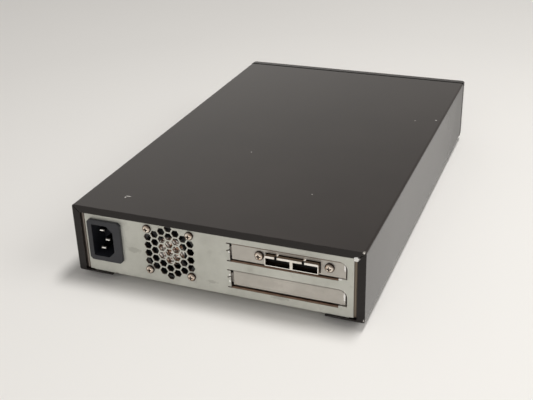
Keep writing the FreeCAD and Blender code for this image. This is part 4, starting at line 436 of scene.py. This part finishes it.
metals = {name: makeMetal(name, s) for name, s in metalSettings.items()}
dress(metals["brassedSteel"], "fan_screws", "port_screws")
dress(metals["zincedSteel"], "card_screws", "drive_screws", "cover_screws")
dress(metals["tinShell"], "port_shell")
dress(metals["castAlloy"], "drive_casting", "head_mount", "reel_motors")
dress(metals["turnedAlloy"], "guide_roller_1", "guide_roller_2", "guide_roller_3", "guide_roller_4",
      "roller_pins", "tape_head", "supply_heatsinks")
dress(metals["lidSteel"], "drive_lid", "cartridge_carrier", "loader_motor", "supply_clutch")
dress(metals["bladeNickel"], "inlet_blades")
dress(metals["gearBrass"], "loader_pinion")
dress(metals["stripCopper"], "slot_strips")


# ---- moulded plastics and rubber ----
plasticSettings = {
    "bezelBlack": {"dark": (0.015, 0.012, 0.011), "light": (0.022, 0.018, 0.017),
                   "rough": (0.20, 0.28), "grain": 1100.0, "edge": 0.0004},
    "faceGrey": {"dark": (0.030, 0.030, 0.032), "light": (0.042, 0.042, 0.044),
                 "rough": (0.40, 0.50), "grain": 1100.0, "edge": 0.0003},
    "inletBlack": {"dark": (0.013, 0.014, 0.018), "light": (0.022, 0.023, 0.029),
                   "rough": (0.34, 0.44), "grain": 1300.0, "edge": 0.0004},
    "fanBlack": {"dark": (0.010, 0.010, 0.010), "light": (0.018, 0.017, 0.017),
                 "rough": (0.40, 0.52), "grain": 1000.0, "edge": 0.0002},
    "rotorGrey": {"dark": (0.016, 0.016, 0.017), "light": (0.026, 0.025, 0.025),
                  "rough": (0.30, 0.42), "grain": 900.0, "edge": 0.0002},
    "reelGrey": {"dark": (0.085, 0.087, 0.090), "light": (0.12, 0.122, 0.126),
                 "rough": (0.34, 0.44), "grain": 900.0, "edge": 0.0002},
    "insertBlack": {"dark": (0.004, 0.004, 0.004), "light": (0.008, 0.008, 0.008),
                    "rough": (0.55, 0.65), "grain": 1500.0, "edge": 0.0001},
    "footRubber": {"dark": (0.010, 0.010, 0.010), "light": (0.017, 0.017, 0.017),
                   "rough": (0.75, 0.88), "grain": 800.0, "edge": 0.0003},
    "leadJacket": {"dark": (0.010, 0.010, 0.011), "light": (0.018, 0.018, 0.019),
                   "rough": (0.45, 0.6), "grain": 1200.0, "edge": 0.0001},
    "windowSmoke": {"dark": (0.004, 0.004, 0.005), "light": (0.007, 0.007, 0.008),
                    "rough": (0.06, 0.10), "grain": 200.0, "edge": 0.0002},
    "woundVarnish": {"dark": (0.30, 0.17, 0.03), "light": (0.46, 0.28, 0.06),
                     "rough": (0.30, 0.42), "grain": 2200.0, "edge": 0.0002},
}


def makePlastic(name, s, seam=None):
    material, tree, shader, place = startMaterial(name)
    cloud = addNoise(tree, place, 60.0, 3.0, 0.55)
    grain = addNoise(tree, place, s["grain"], 2.0, 0.5)
    colour = addRamp(tree, cloud, ((0.35, s["dark"]), (0.65, s["light"])))
    rough = addRange(tree, cloud, *s["rough"])
    if seam:
        # painted shade: the joint between two planes across the depth is darkened and dulled
        seamShade = addBand(tree, addSplit(tree, place)[1], seam[0], seam[1], 0.0003)
        colour = addMix(tree, seamShade, colour, (0.003, 0.003, 0.003))
        rough = addMath(tree, "MAXIMUM", rough, addMath(tree, "MULTIPLY", seamShade, 0.95))
        tree.links.new(seamShade, shader.inputs["Metallic"])
    tree.links.new(colour, shader.inputs["Base Color"])
    tree.links.new(rough, shader.inputs["Roughness"])
    addBump(tree, shader, grain, 0.00003, 0.3, s["edge"])
    return material


seamShadeSpan = (coverLow[1] - 2.2 * mm, coverLow[1] + 0.2 * mm)
plastics = {name: makePlastic(name, s, seamShadeSpan if name == "bezelBlack" else None)
            for name, s in plasticSettings.items()}
dress(plastics["bezelBlack"], "front_bezel")
dress(plastics["faceGrey"], "drive_face", "cartridge_door", "eject_button", "power_button")
dress(plastics["inletBlack"], "inlet_housing")
dress(plastics["fanBlack"], "fan_frame", "power_switch", "drive_plugs", "supply_sockets", "loader_guides")
dress(plastics["rotorGrey"], "fan_rotor")
dress(plastics["reelGrey"], "takeup_reel")
dress(plastics["insertBlack"], "port_inserts")
dress(plastics["footRubber"], "feet")
dress(plastics["leadJacket"], "mains_leads", "output_cable", "data_cable", "fan_lead", "switch_lead")
dress(plastics["windowSmoke"], "display_window")
dress(plastics["woundVarnish"], "supply_parts")


# ---- circuit boards and lamp lenses ----
boardSettings = {
    "mask": (0.010, 0.075, 0.030),
    "maskPale": (0.018, 0.120, 0.050),
    "track": 260.0,
    "rough": 0.28,
}


def makeBoard(s):
    material, tree, shader, place = startMaterial("boardGreen")
    track = addNoise(tree, place, s["track"], 0.0, 0.0, (1.0, 3.0, 1.0))
    tree.links.new(addRamp(tree, track, ((0.48, s["mask"]), (0.52, s["maskPale"]))), shader.inputs["Base Color"])
    shader.inputs["Roughness"].default_value = s["rough"]
    addBump(tree, shader, track, 0.00003, 0.3)
    return material


dress(makeBoard(boardSettings), "drive_board", "port_board", "button_board", "supply_board")

lensSettings = {"clear": (0.42, 0.46, 0.40), "cloudy": (0.30, 0.34, 0.29), "rough": 0.18}


def makeLens(s):
    material, tree, shader, place = startMaterial("lampLens")
    cloud = addNoise(tree, place, 900.0, 2.0, 0.5)
    tree.links.new(addRamp(tree, cloud, ((0.4, s["cloudy"]), (0.6, s["clear"]))), shader.inputs["Base Color"])
    shader.inputs["Roughness"].default_value = s["rough"]
    shader.inputs["Coat Weight"].default_value = 0.5
    return material


dress(makeLens(lensSettings), "status_lights")
bare = [name for name, node in nodes.items() if not node.data.materials or not node.data.materials[0].use_nodes]
print("materials done, nodes without one:", bare)


# ---- foil disc on the fan's hub ----
hubFoilSettings = {
    "radius": 10.2 * mm,
    "plateSet": 1.5 * mm,      # hub's plate behind the panel's inner face
    "sheet": 0.08 * mm,
    "crown": 0.35 * mm,
    "crinkle": 0.11 * mm,
    "rings": 28,
    "around": 96,
    # the copper, silver and shade patches are painted reflections and shade
    "copperReflection": (0.34, 0.19, 0.115),
    "silverReflection": (0.80, 0.78, 0.75),
    "shade": (0.05, 0.032, 0.025),
}


def makeHubFoil(s):
    material, tree, shader, place = startMaterial("hubFoil")
    # painted reflections and shade: copper, silver and dark patches laid by noise
    patch = addNoise(tree, place, 330.0, 4.0, 0.65)
    colour = addRamp(tree, patch, ((0.38, s["shade"]), (0.47, s["copperReflection"]), (0.55, s["silverReflection"])))
    tree.links.new(colour, shader.inputs["Base Color"])
    shader.inputs["Metallic"].default_value = 0.85
    shader.inputs["Roughness"].default_value = 0.22
    addBump(tree, shader, addNoise(tree, place, 700.0, 3.0, 0.6), 0.00006, 0.6)
    return material


def addHubFoil(s):
    # height over the plate = sheet + crown (1 - u^2) + crinkle u (1 - u^2) times two sine waves round the disc;
    # u runs from the middle to the rim, and the shell closes flat against the plate
    low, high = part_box("fan_frame")
    middle = np.array(((low[0] + high[0]) / 2, high[1] - s["plateSet"], (low[2] + high[2]) / 2))
    u = np.linspace(0.0, 1.0, s["rings"])[:, None]
    v = np.linspace(0.0, 2.0 * np.pi, s["around"], endpoint=False)[None, :]
    wave = np.sin(3.0 * v + 5.0 * u) + 0.6 * np.sin(7.0 * v - 9.0 * u + 1.0)
    height = s["sheet"] + (s["crown"] + s["crinkle"] * u * wave) * (1.0 - u ** 2)
    reach = s["radius"] * u + 0.0 * v
    front = np.stack((middle[0] + reach * np.cos(v), middle[1] + height, middle[2] + reach * np.sin(v)), -1)
    back = front[::-1].copy()
    back[:, :, 1] = middle[1] + 0.01 * mm
    foil = makeShell("fanHubFoil", np.concatenate((front, back)), makeHubFoil(s))
    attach(foil, "case")


addHubFoil(hubFoilSettings)


# ---- bead of bare weld at the frame's upper corner ----
cornerWeldSettings = {
    "half": (2.0 * mm, 0.55 * mm, 1.5 * mm),
    "inset": (6.4 * mm, 0.0, 5.8 * mm),      # in from the cover's side, rear and top
    "lumps": 0.16,
    "tilt": 0.30,
    "rings": 20,
    "around": 40,
}


def addCornerWeld(s):
    # an ellipsoid whose radius swells and sinks by the sum of two sine waves over its two angles
    polar = np.linspace(0.0, np.pi, s["rings"])[:, None]
    turn = np.linspace(0.0, 2.0 * np.pi, s["around"], endpoint=False)[None, :]
    waves = np.sin(2.0 * turn + 3.0 * polar) + 0.5 * np.sin(5.0 * turn - 2.0 * polar)
    swell = 1.0 + s["lumps"] * np.sin(polar) * waves
    across = np.sin(polar) * swell
    tilt = s["tilt"]
    x = s["half"][0] * across * np.cos(turn)
    z = s["half"][2] * across * np.sin(turn)
    y = s["half"][1] * np.cos(polar) + 0.0 * turn
    place = np.array((coverLow[0], coverHigh[1], coverHigh[2])) + np.array(s["inset"]) * (1.0, -1.0, -1.0)
    points = np.stack((place[0] + x * np.cos(tilt) + z * np.sin(tilt), place[1] + y,
                       place[2] - x * np.sin(tilt) + z * np.cos(tilt)), -1)
    bead = makeShell("cornerWeldBead", points, metals["foilSilver"])
    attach(bead, "case")


addCornerWeld(cornerWeldSettings)
print("new pieces made: hub foil, corner weld")


# ---- floor, world and lamps ----
stageSettings = {
    "floorColour": (0.785, 0.762, 0.728),
    "floorSize": 8.0,
    # the far floor glows a little, so that it meets the wall; near and far distance, and the glow's strength
    "glowNear": 0.5,
    "glowFar": 3.2,
    "glow": 0.52,
    "backdrop": (0.80, 0.78, 0.745),
    "fill": (1.0, 0.985, 0.96),
    "wallDim": (0.40, 0.380, 0.358),
    # how far the wall dims, then between which two headings, up and across
    "dimUp": (0.0, 0.58, 0.05, 0.55),
    "dimAcross": (0.63, 0.0, 0.0, 0.45),
    "fillStrength": 0.25,
    # soft lamps light without showing as white sheets in the gloss; the overhead one shows
    "lamps": (
        {"name": "overhead", "place": (-0.30, -0.14, 1.60), "aim": (0.0, 0.05, 0.0), "size": (0.60, 0.30),
         "power": 15.5, "inGloss": True},
        {"name": "backSoft", "place": (-0.30, 1.45, 0.85), "aim": (0.0, 0.1, 0.0), "size": (1.5, 0.9),
         "power": 6.5, "inGloss": False},
        {"name": "sideSoft", "place": (-0.95, 0.05, 0.85), "aim": (-0.1, 0.05, 0.0), "size": (0.9, 0.7),
         "power": 4.2, "inGloss": False},
    ),
}


def addStage(s):
    half = s["floorSize"] / 2
    mesh = bpy.data.meshes.new("studioFloor")
    mesh.from_pydata([(-half, -half, 0), (half, -half, 0), (half, half, 0), (-half, half, 0)], [], [(0, 1, 2, 3)])
    floor = bpy.data.objects.new("studioFloor", mesh)
    bpy.context.scene.collection.objects.link(floor)
    material, tree, shader, place = startMaterial("studioFloor")
    paper = addNoise(tree, place, 3.0, 2.0, 0.5)
    pale = tuple(min(1.0, c * 1.01) for c in s["floorColour"])
    tree.links.new(addRamp(tree, paper, ((0.3, s["floorColour"]), (0.7, pale))), shader.inputs["Base Color"])
    shader.inputs["Roughness"].default_value = 0.9
    shader.inputs["Specular IOR Level"].default_value = 0.1
    away = tree.nodes.new("ShaderNodeVectorMath")
    away.operation = "LENGTH"
    tree.links.new(place, away.inputs[0])
    tree.links.new(addRange(tree, away.outputs["Value"], 0.0, s["glow"], s["glowNear"], s["glowFar"]),
                   shader.inputs["Emission Strength"])
    shader.inputs["Emission Color"].default_value = s["floorColour"] + (1.0,)
    mesh.materials.append(material)

    # what the camera, metal and glass see of the world is the plain backdrop; the fill only lights
    world = bpy.data.worlds.new("studioWorld")
    bpy.context.scene.world = world
    world.use_nodes = True
    tree = world.node_tree
    tree.nodes.clear()
    output = tree.nodes.new("ShaderNodeOutputWorld")
    seen = tree.nodes.new("ShaderNodeBackground")
    # the wall is palest low down and on the inlet's side, and dims with height and across
    heading = addSplit(tree, tree.nodes.new("ShaderNodeTexCoord").outputs["Generated"])
    dim = addMath(tree, "ADD", addRange(tree, heading[2], *s["dimUp"]),
                  addRange(tree, heading[0], *s["dimAcross"]), True)
    tree.links.new(addMix(tree, dim, s["backdrop"], s["wallDim"]), seen.inputs["Color"])
    light = tree.nodes.new("ShaderNodeBackground")
    light.inputs["Color"].default_value = s["fill"] + (1.0,)
    light.inputs["Strength"].default_value = s["fillStrength"]
    path = tree.nodes.new("ShaderNodeLightPath")
    shown = addMath(tree, "MAXIMUM", path.outputs["Is Camera Ray"], path.outputs["Is Glossy Ray"])
    shown = addMath(tree, "MAXIMUM", shown, path.outputs["Is Transmission Ray"])
    mix = tree.nodes.new("ShaderNodeMixShader")
    tree.links.new(shown, mix.inputs["Fac"])
    tree.links.new(light.outputs["Background"], mix.inputs[1])
    tree.links.new(seen.outputs["Background"], mix.inputs[2])
    tree.links.new(mix.outputs["Shader"], output.inputs["Surface"])

    for lamp in s["lamps"]:
        data = bpy.data.lights.new(lamp["name"], "AREA")
        data.shape = "ELLIPSE"
        data.size, data.size_y = lamp["size"]
        data.energy = lamp["power"]
        made = bpy.data.objects.new(lamp["name"], data)
        made.visible_glossy = lamp["inGloss"]
        away = np.array(lamp["place"]) - np.array(lamp["aim"])
        away = away / np.linalg.norm(away)
        side = np.cross((0.0, 0.0, 1.0), away)
        side = side / np.linalg.norm(side)
        rows = np.array([side, np.cross(away, side), away]).T.tolist()
        made.matrix_world = Matrix.Translation(lamp["place"]) @ Matrix(rows).to_4x4()
        bpy.context.scene.collection.objects.link(made)


addStage(stageSettings)
bpy.context.scene.view_settings.view_transform = "Standard"
print("stage and lamps set")
